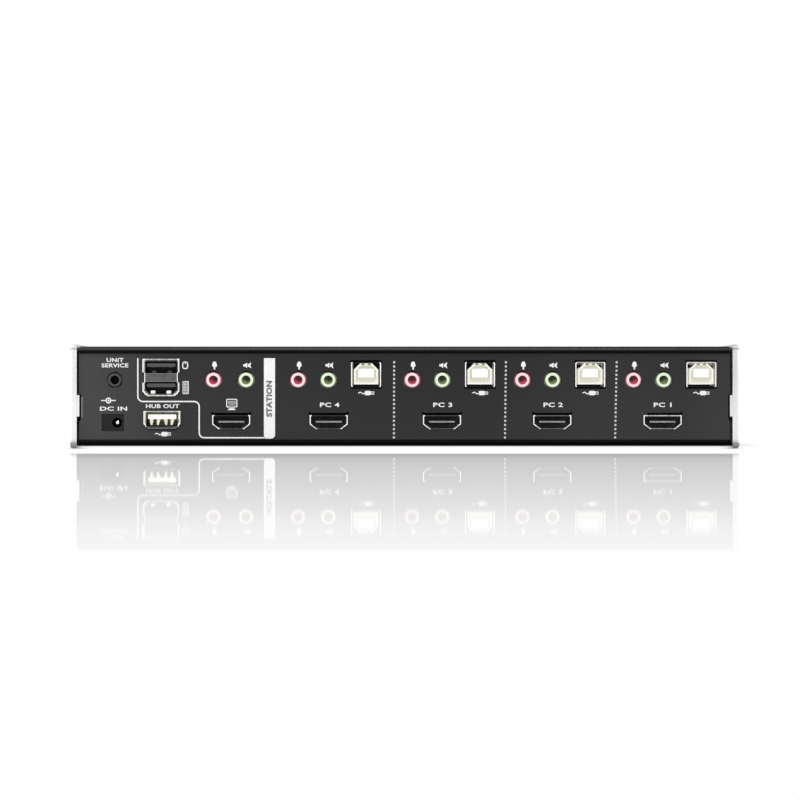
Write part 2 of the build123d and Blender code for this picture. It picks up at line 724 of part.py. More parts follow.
def make_usb_b_inserts():
    """Contact carriers of the four type B sockets: a D-shaped sleeve round a square core."""
    length = usb_b_depth - shell_wall - usb_b_setback
    core_z = usb_b_insert_rise + usb_b_insert_height / 2 + usb_b_core_lift
    with BuildPart() as inserts:
        for place in usb_b_seats:
            with BuildSketch(place.offset(-usb_b_setback)):
                Polygon(*d_points(usb_b_insert_width, usb_b_insert_height, usb_b_bevel,
                                  usb_b_insert_rise), align=None)
            extrude(amount=-length)
            with BuildSketch(place.offset(-usb_b_setback)):
                Polygon(*d_points(usb_b_insert_width - 2 * usb_b_rim, usb_b_insert_height - 2 * usb_b_rim,
                                  usb_b_bevel - usb_b_rim / 2, usb_b_insert_rise + usb_b_rim), align=None)
                with Locations((0, core_z)):
                    Rectangle(usb_b_core_width, usb_b_core_height, mode=Mode.SUBTRACT)
            extrude(amount=-usb_b_cavity, mode=Mode.SUBTRACT)
            with BuildSketch(place.offset(-usb_b_setback)):
                with Locations((0, core_z)):
                    Rectangle(usb_b_core_width, usb_b_core_height)
            extrude(amount=-usb_b_core_setback, mode=Mode.SUBTRACT)
    return finish(inserts, "usb_b_inserts")


def make_usb_a_shell(place, height, name, lip_break=None):
    """Shell of a USB type A socket with flared lips, broken beside a dividing block."""
    inner_width_a = usb_a_width - 2 * shell_wall
    inner_height = height - 2 * shell_wall
    with BuildPart() as shell:
        with BuildSketch(place):
            with Locations((0, height / 2)):
                Rectangle(usb_a_width, height)
        extrude(amount=-usb_a_depth)
        with BuildSketch(place):
            Polygon(*lip_points(usb_a_width, height, 0, lip_bevel), align=None)
        extrude(amount=lip_depth, taper=-lip_flare)
        with BuildSketch(place):
            with Locations((0, height / 2)):
                Rectangle(inner_width_a, inner_height)
        extrude(amount=-(usb_a_depth - shell_wall), mode=Mode.SUBTRACT)
        with BuildSketch(place):
            Polygon(*lip_points(inner_width_a, inner_height, shell_wall, lip_bevel), align=None)
        extrude(amount=lip_depth, taper=-lip_flare, mode=Mode.SUBTRACT)
        if lip_break:
            low, high = lip_break
            with BuildSketch(place):
                with Locations((-usb_a_width / 2, (low + high) / 2), (usb_a_width / 2, (low + high) / 2)):
                    Rectangle(4 * lip_reach, high - low)
            extrude(amount=lip_depth, mode=Mode.SUBTRACT)
    return finish(shell, name)


stack_opening = (stack_height - 2 * shell_wall - stack_middle) / 2
stack_middle_low = shell_wall + stack_opening
stack_lip_break = (stack_middle_low - stack_lip_gap, stack_middle_low + stack_middle + stack_lip_gap)


def make_usb_stack_insert():
    """Contact carrier of the double socket: back, dividing block and two tongues."""
    depth = usb_a_depth - shell_wall
    with BuildPart() as insert:
        with BuildSketch(stack_seat.offset(-depth)):
            with Locations((0, stack_height / 2)):
                Rectangle(usb_a_insert_width, stack_height - 2 * (shell_wall + insert_gap))
        extrude(amount=usb_a_back)
        with BuildSketch(stack_seat.offset(usb_a_back - depth)):
            with Locations((0, stack_middle_low + stack_middle / 2)):
                Rectangle(usb_a_insert_width, stack_middle)
        extrude(amount=depth - usb_a_back)
        with BuildSketch(stack_seat.offset(usb_a_back - depth)):
            for opening_top in (stack_middle_low, stack_height - shell_wall):
                with Locations((0, opening_top - stack_tongue_drop - stack_tongue_height / 2)):
                    Rectangle(usb_a_tongue_width, stack_tongue_height)
        extrude(amount=depth - usb_a_back - stack_tongue_setback)
    return finish(insert, "usb_stack_insert")


def make_hub_usb_inserts():
    """Contact carriers of the two single type A sockets: a back block and a thick tongue."""
    depth = usb_a_depth - shell_wall
    tongue_z = usb_a_height - shell_wall - usb_a_tongue_drop - usb_a_tongue_height / 2
    with BuildPart() as inserts:
        for place in (hub_seat, front_usb_seat):
            with BuildSketch(place.offset(-depth)):
                with Locations((0, usb_a_height / 2)):
                    Rectangle(usb_a_insert_width, usb_a_height - 2 * (shell_wall + insert_gap))
            extrude(amount=usb_a_back)
            with BuildSketch(place.offset(usb_a_back - depth)):
                with Locations((0, tongue_z)):
                    Rectangle(usb_a_tongue_width, usb_a_tongue_height)
            extrude(amount=depth - usb_a_back - usb_a_tongue_setback)
    return finish(inserts, "hub_usb_inserts")


def make_jack(place, ring_radius, nose, name):
    """Audio jack: a box on its board, a round nose through the panel and one bore."""
    with BuildPart() as jack:
        with BuildSketch(place):
            Circle(ring_radius)
        extrude(amount=-(nose + jack_overlap))
        mouth = jack.faces().filter_by(GeomType.PLANE).sort_by(Axis.Y)
        mouth_face = mouth[0] if place.z_dir.Y < 0 else mouth[-1]
        chamfer(mouth_face.edges(), length=jack_edge)
        with BuildSketch(place.offset(-nose)):
            Rectangle(jack_body_width, 2 * jack_rise)
        extrude(amount=-jack_body_length)
        with BuildSketch(place):
            Circle(jack_bore_radius)
        extrude(amount=-jack_bore_depth, mode=Mode.SUBTRACT)
    return finish(jack, name)


def make_dc_jack():
    """Power socket: a block with a round hole beside its middle, seen through the panel."""
    place = seat(left_face + dc_place, dc_mouth, dc_hole_z)
    with BuildPart() as jack:
        with BuildSketch(place):
            Rectangle(dc_width, dc_height)
        extrude(amount=-dc_depth)
        with BuildSketch(place):
            with Locations((dc_hole_side, 0)):
                Circle(dc_hole_radius)
        extrude(amount=-dc_hole_depth, mode=Mode.SUBTRACT)
    return finish(jack, "dc_jack")


def make_dc_jack_pin():
    """Centre pin of the power socket, standing on the bottom of its hole."""
    with BuildPart() as pin:
        with BuildSketch(seat(dc_hole_x, dc_mouth + dc_hole_depth, dc_hole_z)):
            Circle(dc_pin_radius)
        extrude(amount=dc_hole_depth - dc_pin_setback)
        tip = pin.faces().sort_by(Axis.Y)[0]
        fillet(tip.edges(), radius=dc_pin_radius / 2)
    return finish(pin, "dc_jack_pin")


# ---- Buttons and indicators ----
def make_port_button(x, name):
    """Push button: cap, retaining flange behind the bezel and a stem to its switch."""
    with BuildPart() as button:
        with BuildSketch(seat(x, front_edge, button_z, 1)):
            RectangleRounded(button_width, button_height, button_corner)
        extrude(amount=-(front_edge - flange_back))
        face = button.faces().sort_by(Axis.Y)[-1]
        fillet(face.edges(), radius=button_round)
        with BuildSketch(seat(x, flange_front, button_z, 1)):
            Rectangle(button_width + 2 * button_flange, button_height + 2 * button_flange)
        extrude(amount=-button_flange_thickness)
        with BuildSketch(seat(x, flange_back, button_z, 1)):
            Circle(stem_radius)
        extrude(amount=-stem_length)
    return finish(button, name)


def make_switch_plunger(x, name):
    """Plunger of a push switch, held in its body and touched by the button's stem."""
    with BuildPart() as plunger:
        with BuildSketch(seat(x, plunger_tip, button_z, 1)):
            Circle(plunger_radius)
        extrude(amount=-(plunger_out + plunger_in))
    return finish(plunger, name)


def make_button_switches():
    """Four push switch bodies on the front board, each bored for its plunger."""
    with BuildPart() as bodies:
        with BuildSketch(seat(0, front_board_face, button_z, 1)):
            with Locations(*[(-x, 0) for x in button_places]):
                Rectangle(switch_size, switch_size)
        extrude(amount=switch_height)
        with BuildSketch(seat(0, switch_face, button_z, 1)):
            with Locations(*[(-x, 0) for x in button_places]):
                Circle(plunger_radius + plunger_gap)
        extrude(amount=-(plunger_in + button_travel + plunger_floor), mode=Mode.SUBTRACT)
    return finish(bodies, "button_switches")


lens_points = [(-x + side * lens_spread, 0) for x in button_places for side in (-1, 1)]


def make_indicator_lenses():
    """Clear light pipes, two above each button, from the lamps to the bezel's face."""
    with BuildPart() as lenses:
        with BuildSketch(seat(0, lens_back, lens_z, 1)):
            with Locations(*lens_points):
                Rectangle(lens_width, lens_height)
        extrude(amount=bezel_front + lens_proud - lens_back)
    return finish(lenses, "indicator_lenses")


# ---- Build every piece ----
os.makedirs("parts", exist_ok=True)
make_base_tray()
make_top_cover()
make_rear_panel()
make_side_rail(-1, "left_side_rail")
make_side_rail(1, "right_side_rail")
make_front_bezel()
make_main_board()
make_upper_board()
make_front_board()
make_board_standoffs()
make_board_spacers()
make_board_screws()
make_case_screws()
make_capacitors()
on_main = Plane.XY.offset(main_board_top)
on_front = seat(0, front_board_face, 0, 1)
link_y = front_board_back - front_link_size[1] / 2
make_box_on(on_main, [(0, board_rear + board_link_inset)], board_link_size, 0, "board_link")
make_box_on(on_main, [(button_places[1], link_y)], front_link_size, 0, "front_link")
make_box_on(on_main, [video_chip_place], video_chip_size, chip_edge, "video_switch_chip")
make_box_on(on_main, controller_places, controller_size, chip_edge, "controller_chips")
make_box_on(on_front, [(x, lens_z) for x, z in lens_points], lamp_size, 0, "indicator_lamps")

make_hdmi_shell(console_hdmi_seat, "hdmi_shell_console")
for number, place in enumerate(port_hdmi_seats, 1):
    make_hdmi_shell(place, "hdmi_shell_%d" % number)
make_hdmi_inserts()
for number, place in enumerate(usb_b_seats, 1):
    make_usb_b_shell(place, "usb_b_shell_%d" % number)
make_usb_b_inserts()
make_usb_a_shell(stack_seat, stack_height, "usb_stack_shell", stack_lip_break)
make_usb_stack_insert()
make_usb_a_shell(hub_seat, usb_a_height, "hub_usb_shell")
make_usb_a_shell(front_usb_seat, usb_a_height, "front_usb_shell")
make_hub_usb_inserts()
rear_nose = panel_back + slip - jack_mouth
for name, x in rear_jack_places.items():
    make_jack(seat(x, jack_mouth, jack_z), jack_ring_radius, rear_nose, name)
make_jack(seat(left_face + service_place, jack_mouth, jack_z), service_ring_radius, rear_nose, "service_jack")
front_nose = bezel_wall + slip
for name, x in (("front_mic_jack", front_mic_place), ("front_speaker_jack", front_speaker_place)):
    make_jack(seat(x, bezel_front, main_board_top + jack_rise, 1), jack_ring_radius, front_nose, name)
make_dc_jack()
make_dc_jack_pin()
for number, x in enumerate(button_places, 1):
    make_port_button(x, "port_button_%d" % number)
    make_switch_plunger(x, "switch_plunger_%d" % number)
make_button_switches()
make_indicator_lenses()
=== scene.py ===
"""Finishes, print and small metalwork of a four-port switch box. Every length is in metres."""
import math

import bmesh
import bpy
from mathutils import Matrix, Vector


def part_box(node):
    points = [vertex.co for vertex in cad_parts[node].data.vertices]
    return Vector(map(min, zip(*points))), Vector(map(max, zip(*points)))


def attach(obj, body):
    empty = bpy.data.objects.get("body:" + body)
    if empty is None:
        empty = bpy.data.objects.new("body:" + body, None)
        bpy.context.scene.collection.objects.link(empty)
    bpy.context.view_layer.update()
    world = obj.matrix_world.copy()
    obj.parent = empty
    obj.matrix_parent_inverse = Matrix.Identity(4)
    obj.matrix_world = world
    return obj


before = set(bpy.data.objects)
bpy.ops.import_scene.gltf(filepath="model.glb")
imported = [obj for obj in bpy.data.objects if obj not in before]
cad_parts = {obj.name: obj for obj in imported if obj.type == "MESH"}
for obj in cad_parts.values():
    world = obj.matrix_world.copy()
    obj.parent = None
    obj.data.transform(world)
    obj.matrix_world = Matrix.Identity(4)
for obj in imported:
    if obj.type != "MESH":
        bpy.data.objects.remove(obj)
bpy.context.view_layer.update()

MM = 0.001
PORTS = (1, 2, 3, 4)
PLACES = ["console"] + [str(port) for port in PORTS]    # each has an HDMI socket and two jacks
CASE = "case"
BLACK = (0.0, 0.0, 0.0)
SHEET = 1.0 * MM
NOTCH_HEIGHTS = (12.2 * MM, 20.3 * MM)                  # of the rail's tab in the panel's edge
TRAY_GAP = 1.0 * MM                                     # between the tray and the panel above it
JACK_RING = 3.0 * MM
JACK_BORE = 1.8 * MM
DARK_CORE_RISE = 0.4 * MM                               # painted shade: the bore is painted darkest just above its axis
EVEN_RISE = [(0.0, 0.0), (1.0, 1.0)]


def grey(level):
    return (level, level, level)


def scaled(colour, share):
    return tuple(c * share for c in colour)


def middle(node):
    """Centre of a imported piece's box."""
    low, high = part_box(node)
    return (low + high) / 2


# ---------------------------------------------------------------- shader maths
def sign(operation, swapped=False):
    """An arithmetic sign that adds one Math node, for a value on either side of it."""
    def apply(self, other):
        return self.maths(operation, *((other, self) if swapped else (self, other)))
    return apply


class Signal:
    """A shader socket that takes part in arithmetic."""

    def __init__(self, finish, socket):
        self.finish = finish
        self.socket = socket

    def maths(self, operation, *values, clamp=False):
        inputs = dict(enumerate(values))
        return self.finish.node("ShaderNodeMath", {"operation": operation, "use_clamp": clamp}, inputs)

    __add__, __radd__ = sign("ADD"), sign("ADD", swapped=True)
    __sub__, __rsub__ = sign("SUBTRACT"), sign("SUBTRACT", swapped=True)
    __mul__, __rmul__ = sign("MULTIPLY"), sign("MULTIPLY", swapped=True)
    __truediv__ = sign("DIVIDE")
    __pow__ = sign("POWER")
    __lt__ = sign("LESS_THAN")
    __gt__ = sign("GREATER_THAN")
    least = sign("MINIMUM")
    most = sign("MAXIMUM")

    def size(self):
        return self.maths("ABSOLUTE", self)

    def wave(self):
        return self.maths("SINE", self)

    def limited(self):
        """Held between 0 and 1."""
        return self.maths("ADD", self, 0.0, clamp=True)


class Finish:
    """One material: its nodes, its arithmetic and its surface."""

    def __init__(self, name, roughness=0.5, metallic=0.0, **constants):
        self.material = bpy.data.materials.new(name)
        self.material.use_nodes = True
        self.tree = self.material.node_tree
        self.tree.nodes.clear()
        self.surface = self.tree.nodes.new("ShaderNodeBsdfPrincipled")
        self.output = self.tree.nodes.new("ShaderNodeOutputMaterial")
        self.tree.links.new(self.surface.outputs[0], self.output.inputs[0])
        self.surface.inputs["Roughness"].default_value = roughness
        self.surface.inputs["Metallic"].default_value = metallic
        for socket, value in constants.items():
            self.surface.inputs[socket.replace("_", " ")].default_value = value
        coordinates = self.tree.nodes.new("ShaderNodeTexCoord")
        self.place = Signal(self, coordinates.outputs["Object"])
        split = self.tree.nodes.new("ShaderNodeSeparateXYZ")
        self.tree.links.new(self.place.socket, split.inputs[0])
        self.x, self.y, self.z = (Signal(self, out) for out in split.outputs)

    def node(self, kind, settings=None, inputs=None, output=0):
        """Adds a node, sets it up, then feeds its sockets with values or with signals."""
        made = self.tree.nodes.new(kind)
        for name, value in (settings or {}).items():
            if name == "stops":
                self.set_stops(made.color_ramp, value)
            else:
                setattr(made, name, value)
        for key, value in (inputs or {}).items():
            if isinstance(value, Signal):
                self.tree.links.new(value.socket, made.inputs[key])
            else:
                made.inputs[key].default_value = value
        return Signal(self, made.outputs[output])

    @staticmethod
    def set_stops(ramp, stops):
        while len(ramp.elements) < len(stops):
            ramp.elements.new(0.5)
        for element, (position, colour) in zip(ramp.elements, stops):
            element.position = position
            element.color = colour

    def noise(self, per_mm, detail=2.0, rough=0.5, stretch=None):
        """Cloudy noise from 0 to 1 with so many clouds to a millimetre."""
        place = self.place
        if stretch:
            place = self.node("ShaderNodeMapping", {}, {0: place, 3: stretch})
        inputs = {"Vector": place, "Scale": per_mm / MM, "Detail": detail, "Roughness": rough}
        return self.node("ShaderNodeTexNoise", {}, inputs)

    def cells(self, per_mm):
        """Distance to the nearest of many scattered points, in cell widths."""
        return self.node("ShaderNodeTexVoronoi", {}, {"Vector": self.place, "Scale": per_mm / MM})

    def ramp(self, signal, stops):
        """A grey value that follows stops, each a place from 0 to 1 and its value."""
        stops = [(place, (*grey(level), 1.0)) for place, level in stops]
        return self.node("ShaderNodeValToRGB", {"stops": stops}, {0: signal})

    def mix(self, share, first, second):
        """Blends two colours."""
        first, second = ((*c, 1.0) if isinstance(c, tuple) and len(c) == 3 else c for c in (first, second))
        return self.node("ShaderNodeMix", {"data_type": "RGBA"}, {0: share, 6: first, 7: second}, output=2)

    def feed(self, **signals):
        """Links signals to the surface's sockets, named with underscores."""
        for socket, value in signals.items():
            self.tree.links.new(value.socket, self.surface.inputs[socket.replace("_", " ")])

    def bump(self, height, depth_mm, strength):
        """Fine relief that is too small to model."""
        inputs = {"Height": height, "Distance": depth_mm * MM, "Strength": strength}
        self.feed(Normal=self.node("ShaderNodeBump", {}, inputs))


def near(signal, place, reach):
    """1 at a place along an axis, falling to 0 at a reach from it."""
    return (1.0 - (signal - place).size() / reach).limited()


def between(signal, low, high):
    """1 from low to high along an axis and 0 outside."""
    return (signal > low) * (signal < high)


def along(finish, signal, low, high, stops):
    """A value that follows stops from 0 to 1 between two places on an axis."""
    return finish.ramp((signal - low) / (high - low), stops)


def rising(finish, signal, low, high):
    """0 up to one place on an axis, climbing evenly to 1 at the next."""
    return along(finish, signal, low, high, EVEN_RISE)


def sideways(finish, nodes):
    """Distance in X from the middle of the nearest of some pieces."""
    nearest = None
    for node in nodes:
        away = (finish.x - middle(node).x).size()
        nearest = away if nearest is None else nearest.least(away)
    return nearest


def ripple(signal, pitch, phase=None):
    """A sine wave along an axis, one to each pitch."""
    angle = signal * (2 * math.pi / pitch)
    return (angle if phase is None else angle + phase).wave()


# ---------------------------------------------------------------- finishes
def powder_paint(name, colour, worn_colour, edges=(), dust=0.25, sheen=0.2):
    """Satin powder paint on steel: fine orange peel, faint dust and rubbed edges."""
    paint = Finish(name, roughness=0.5, Specular_IOR_Level=sheen)
    peel = paint.noise(2.2, detail=3.0, rough=0.6)
    fine = paint.noise(9.0, detail=1.0)
    cloud = paint.noise(0.03, detail=4.0, rough=0.65)
    specks = paint.ramp(paint.cells(1.4), [(0.02, 1.0), (0.07, 0.0)])
    rubbed = paint.ramp(paint.noise(0.9, detail=4.0, rough=0.7), [(0.42, 0.0), (0.66, 1.0)])
    base = paint.mix(paint.ramp(cloud, [(0.3, 0.0), (0.75, 1.0)]), colour, scaled(colour, 1.2))
    base = paint.mix(specks * dust * 0.4, base, (0.20, 0.20, 0.19))
    for axis, place, reach in edges:
        base = paint.mix(near(getattr(paint, axis), place, reach) * rubbed * 0.5, base, worn_colour)
    paint.feed(Base_Color=base, Roughness=(0.40 + cloud * 0.12 + fine * 0.10 + specks * 0.08).limited())
    paint.bump(peel + fine * 0.35, 0.018, 0.35)
    return paint, base


def cover_paint():
    """The cover's paint, with painted light along the cut rear edge: a painted sheen that fades from left to
    right and a painted highlight line at its lower corner.
    """
    paint, base = powder_paint("black_cover_paint", grey(0.004), grey(0.03),
                               [("y", cover_low.y, 0.5 * MM)], sheen=0.1)
    # painted sheen: the cut edge painted lighter towards the left end
    painted_sheen_sweep = along(paint, paint.x, cover_low.x, cover_high.x, [(0.0, 1.0), (0.45, 0.55), (1.0, 0.0)])
    # painted highlight: a light line along the lower corner of the cut edge, strongest mid-way
    shine = along(paint, paint.x, cover_low.x, cover_high.x,
                  [(0.0, 0.1), (0.15, 0.4), (0.3, 0.8), (0.5, 1.0), (0.65, 0.85), (0.8, 0.75), (1.0, 0.4)])
    cut = paint.y < cover_low.y + 0.1 * MM
    base = paint.mix(painted_sheen_sweep * cut * 0.6, base, grey(0.028))
    base = paint.mix(near(paint.z, cover_high.z - 1.1 * MM, 0.4 * MM) * shine * cut, base, grey(0.12))
    paint.feed(Base_Color=base)
    return paint.material


def foam_strip():
    """Black foam in the gap under the cover, with a painted highlight along its upper edge."""
    foam = Finish("black_gasket_foam", roughness=0.8, Specular_IOR_Level=0.0)
    grain = foam.noise(1.5, detail=3.0)
    # painted highlight: light grey along the strip's upper edge, just under the cover
    gasket_painted_highlight = along(foam, foam.z, panel_high.z, cover_high.z - SHEET,
                  [(0.0, 0.05), (0.55, 0.08), (0.8, 0.5), (1.0, 1.0)])
    foam.feed(Base_Color=foam.mix(gasket_painted_highlight * (0.7 + grain * 0.5), grey(0.002), grey(0.13)))
    return foam.material


def seal_rubber():
    """Black rubber in the gap over the tray, with painted shade: darkest low in the gap, less dark towards
    the panel's lower edge.
    """
    rubber = Finish("black_seal_rubber", roughness=0.8, Specular_IOR_Level=0.0)
    grain = rubber.noise(1.5, detail=3.0)
    # painted shade: darker the lower it sits in the gap
    seal_painted_shade_ramp = along(rubber, rubber.z, panel_low.z - TRAY_GAP, panel_low.z,
                  [(0.0, 0.25), (0.6, 0.45), (1.0, 1.0)])
    rubber.feed(Base_Color=rubber.mix(seal_painted_shade_ramp * (0.8 + grain * 0.3), BLACK, grey(0.0085)))
    return rubber.material


def panel_paint():
    """Charcoal paint on the connector panel, with painted light: a painted sheen lightening it towards both
    ends and the bottom, painted shade at its top fold, painted highlights on its left notch and edge.
    """
    paint, base = powder_paint("charcoal_panel_paint", (0.0062, 0.0064, 0.0062), grey(0.08),
                               dust=0.06, sheen=0.1)
    # painted sheen: the panel painted lighter towards both ends
    painted_end_sheen = along(paint, paint.x, panel_low.x, panel_high.x,
                  [(0.0, 0.98), (0.046, 0.72), (0.083, 0.58), (0.156, 0.17), (0.3, 0.08), (0.45, 0.0),
                   (0.63, 0.0), (0.71, 0.10), (0.78, 0.20), (0.93, 0.22), (1.0, 0.48)])
    # painted sheen: lighter towards the bottom
    painted_low_sheen = along(paint, paint.z, panel_low.z, panel_high.z, [(0.0, 1.0), (1.0, 0.0)])
    base = paint.mix((painted_end_sheen + painted_low_sheen * 0.26).limited(), base, (0.0270, 0.0274, 0.0270))
    # painted shade darkening the panel towards its top fold
    head = along(paint, paint.z, panel_high.z - 1.7 * MM, panel_high.z,
                 [(0.0, 0.0), (0.7, 0.45), (1.0, 0.95)])
    base = paint.mix(head * 0.92, base, grey(0.001))
    # painted highlights on the lit edge of the rail's notch and along the panel's left side edge
    painted_notch_highlight = near(paint.x, panel_low.x + 1.1 * MM, 0.5 * MM) * between(paint.z, *NOTCH_HEIGHTS)
    side = near(paint.x, panel_low.x, 0.35 * MM)
    base = paint.mix(painted_notch_highlight * 0.75, base, grey(0.16))
    base = paint.mix(side * 0.5, base, grey(0.06))
    paint.feed(Base_Color=base)
    return paint.material


def print_ink(name, colour, dull):
    """Screen-printed ink: slightly uneven, with pinholes."""
    ink = Finish(name, roughness=0.55)
    mottle = ink.noise(1.6, detail=4.0, rough=0.7)
    pinholes = ink.ramp(ink.cells(3.0), [(0.05, 1.0), (0.12, 0.0)])
    base = ink.mix(ink.ramp(mottle, [(0.35, 0.0), (0.8, 1.0)]), colour, dull)
    base = ink.mix(pinholes * 0.25, base, dull)
    ink.feed(Base_Color=base, Roughness=0.45 + mottle * 0.2)
    ink.bump(mottle, 0.006, 0.3)
    return ink.material


def satin_rail(name):
    """Satin silver rail: fine lines along its length and handling marks; painted shade towards its top, a
    painted highlight on the outer edge of its end face, and painted shade on that face at its foot and under
    its top bead.
    """
    silver = Finish(name, roughness=0.3, metallic=1.0)
    lines = silver.noise(3.0, detail=3.0, rough=0.7, stretch=(1.0, 0.02, 1.0))
    marks = silver.noise(0.05, detail=4.0, rough=0.6)
    low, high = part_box("left_side_rail")
    shade = silver.ramp(marks * 0.6 + lines * 0.4, [(0.3, 0.0), (0.7, 1.0)])
    end = silver.y < low.y + 0.3 * MM
    base = silver.mix(shade, grey(0.505), grey(0.565))
    # painted shade: darker towards the top
    rise = along(silver, silver.z, low.z + 14.0 * MM, high.z,
                 [(0.0, 0.0), (0.6, 0.22), (1.0, 0.22)])
    base = silver.mix(rise, base, grey(0.06))
    # painted highlight on the outer edge of the end face
    base = silver.mix(near(silver.x.size(), rail_outer, 1.1 * MM) * end, base, grey(0.66))
    # painted shade on the end face towards its foot, and in the groove under its top bead
    painted_foot_shade = along(silver, silver.z, low.z, low.z + 4.0 * MM,
                  [(0.0, 0.85), (0.24, 0.84), (0.335, 0.66), (0.435, 0.78), (0.52, 0.66), (0.62, 0.44),
                   (0.83, 0.06), (1.0, 0.0)])
    painted_groove_shade = near(silver.z, high.z - 1.9 * MM, 0.6 * MM)
    base = silver.mix(painted_foot_shade.most(painted_groove_shade * 0.55) * end, base, (0.06, 0.06, 0.062))
    silver.feed(Base_Color=base, Roughness=(0.30 + lines * 0.12 + marks * 0.08).limited())
    silver.bump(lines, 0.008, 0.25)
    return silver.material


def gloss_moulding(name, colour):
    """Glossy moulding: hairline scratches both ways, faint smears and dust."""
    gloss = Finish(name, roughness=0.08, Coat_Roughness=0.03)
    across = gloss.noise(1.3, detail=3.0, rough=0.8, stretch=(0.03, 1.0, 1.0))
    upward = gloss.noise(1.1, detail=3.0, rough=0.8, stretch=(1.0, 1.0, 0.04))
    smears = gloss.noise(0.05, detail=5.0, rough=0.6)
    specks = gloss.ramp(gloss.cells(0.9), [(0.015, 1.0), (0.04, 0.0)])
    scratches = gloss.ramp(across, [(0.66, 0.0), (0.72, 1.0)])
    scratches = scratches.most(gloss.ramp(upward, [(0.68, 0.0), (0.73, 1.0)]))
    base = gloss.mix(specks * 0.35, colour, (0.35, 0.34, 0.32))
    base = gloss.mix(scratches * 0.12, base, grey(0.2))
    gloss.feed(Base_Color=base, Roughness=(0.06 + smears * 0.10 + scratches * 0.18 + specks * 0.3).limited())
    gloss.bump(smears + scratches * 0.2, 0.01, 0.15)
    return gloss.material


def nickel_shell(name, colour):
    """Pressed and plated sheet: drawing lines, tarnish clouds and small scuffs."""
    metal = Finish(name, roughness=0.25, metallic=1.0)
    drawn = metal.noise(5.0, detail=2.0, rough=0.6, stretch=(1.0, 0.08, 1.0))
    tarnish = metal.noise(0.35, detail=4.0, rough=0.6)
    scuffs = metal.ramp(metal.noise(2.6, detail=3.0, rough=0.75), [(0.6, 0.0), (0.7, 1.0)])
    clouds = metal.ramp(tarnish, [(0.42, 0.0), (0.72, 1.0)])
    metal.feed(Base_Color=metal.mix(clouds, colour, scaled(colour, 0.78)),
               Roughness=(0.20 + drawn * 0.14 + scuffs * 0.16).limited())
    metal.bump(drawn + scuffs * 0.4, 0.008, 0.3)
    return metal.material


def matt_moulding(name, colour, sheen=0.05, depth=0.02, shine=0.5):
    """Spark-eroded matt moulding: fine grain and faint flow marks."""
    plastic = Finish(name, roughness=0.5, Specular_IOR_Level=shine)
    grain = plastic.noise(6.0, detail=2.0, rough=0.6)
    flow = plastic.noise(0.12, detail=3.0, stretch=(1.0, 0.3, 1.0))
    lighter = tuple(min(1.0, c * 1.12 + 0.006) for c in colour)
    plastic.feed(Base_Color=plastic.mix(flow, colour, lighter),
                 Roughness=(0.42 + sheen + grain * 0.18).limited())
    plastic.bump(grain, depth, 0.3)
    return plastic.material


def edge_lit_nickel(name, node, shape, painted_top_highlight, painted_foot_highlight, colour=(0.80, 0.795, 0.77)):
    """Folded shell with painted light: flanks and low slants painted bright, top and bottom runs painted
    dark unless given a painted highlight.
    """
    low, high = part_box(node)
    flank, slant, slant_height = (length * MM for length in shape)
    metal = Finish(name, roughness=0.22, metallic=1.0)
    drawn = metal.noise(5.0, detail=2.0, rough=0.6, stretch=(1.0, 0.08, 1.0))
    patchy = metal.ramp(metal.noise(1.1, detail=3.0, rough=0.7), [(0.35, 0.0), (0.6, 1.0)])
    offset = sideways(metal, [node])
    sides = offset > flank
    slants = (offset > slant) * (metal.z < low.z + slant_height) * (0.45 + patchy * 0.5)
    top = (metal.z > high.z - 1.0 * MM) * painted_top_highlight
    foot = (metal.z < low.z + 0.9 * MM) * painted_foot_highlight
    lit = sides.most(slants).most(top.most(foot) * (0.6 + patchy * 0.6)).limited()
    metal.feed(Base_Color=metal.mix(lit, grey(0.012), colour),
               Roughness=(0.20 + drawn * 0.15).limited())
    metal.bump(drawn, 0.008, 0.3)
    return metal.material


def ivory_sleeve(name):
    """Ivory nylon sleeve with painted light: a pale painted glow in its hollows, painted shade in its top
    corners, less of it on the lit side of the two right-hand sockets.
    """
    ivory = Finish(name, roughness=0.5, Emission_Strength=1.0)
    grain = ivory.noise(6.0, detail=2.0, rough=0.6)
    flow = ivory.noise(0.12, detail=3.0, stretch=(1.0, 0.3, 1.0))
    low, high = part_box("usb_b_inserts")
    depth = ivory.y - low.y
    offset = sideways(ivory, ["usb_b_shell_%d" % port for port in PORTS])
    deep = rising(ivory, depth, 0.3 * MM, 0.9 * MM)
    second, first = middle("usb_b_shell_2").x, middle("usb_b_shell_1").x
    lit_side = between(ivory.x, second, second + 7.0 * MM).most(ivory.x > first)
    # painted shade in the top corners, lighter on the lit side of the two right-hand sockets
    corner = (ivory.z > high.z - 1.7 * MM) * (offset > 2.7 * MM) * (1.0 - lit_side * 0.9)
    shade = along(ivory, ivory.z, low.z + 1.0 * MM, low.z + 4.0 * MM,
                  [(0.0, 0.95), (0.6, 0.72), (1.0, 0.8)])
    painted_light_zone = deep * (1.0 - corner)
    nylon = ivory.mix(flow, (0.45, 0.445, 0.415), (0.48, 0.475, 0.44))
    # the glow in the hollows is painted light, varying with height
    ivory.feed(Base_Color=ivory.mix(corner * deep, nylon, grey(0.01)),
               Emission_Color=ivory.mix(painted_light_zone * shade, BLACK, (0.42, 0.41, 0.355)),
               Roughness=(0.42 + grain * 0.18).limited())
    ivory.bump(grain, 0.01, 0.3)
    return ivory.material


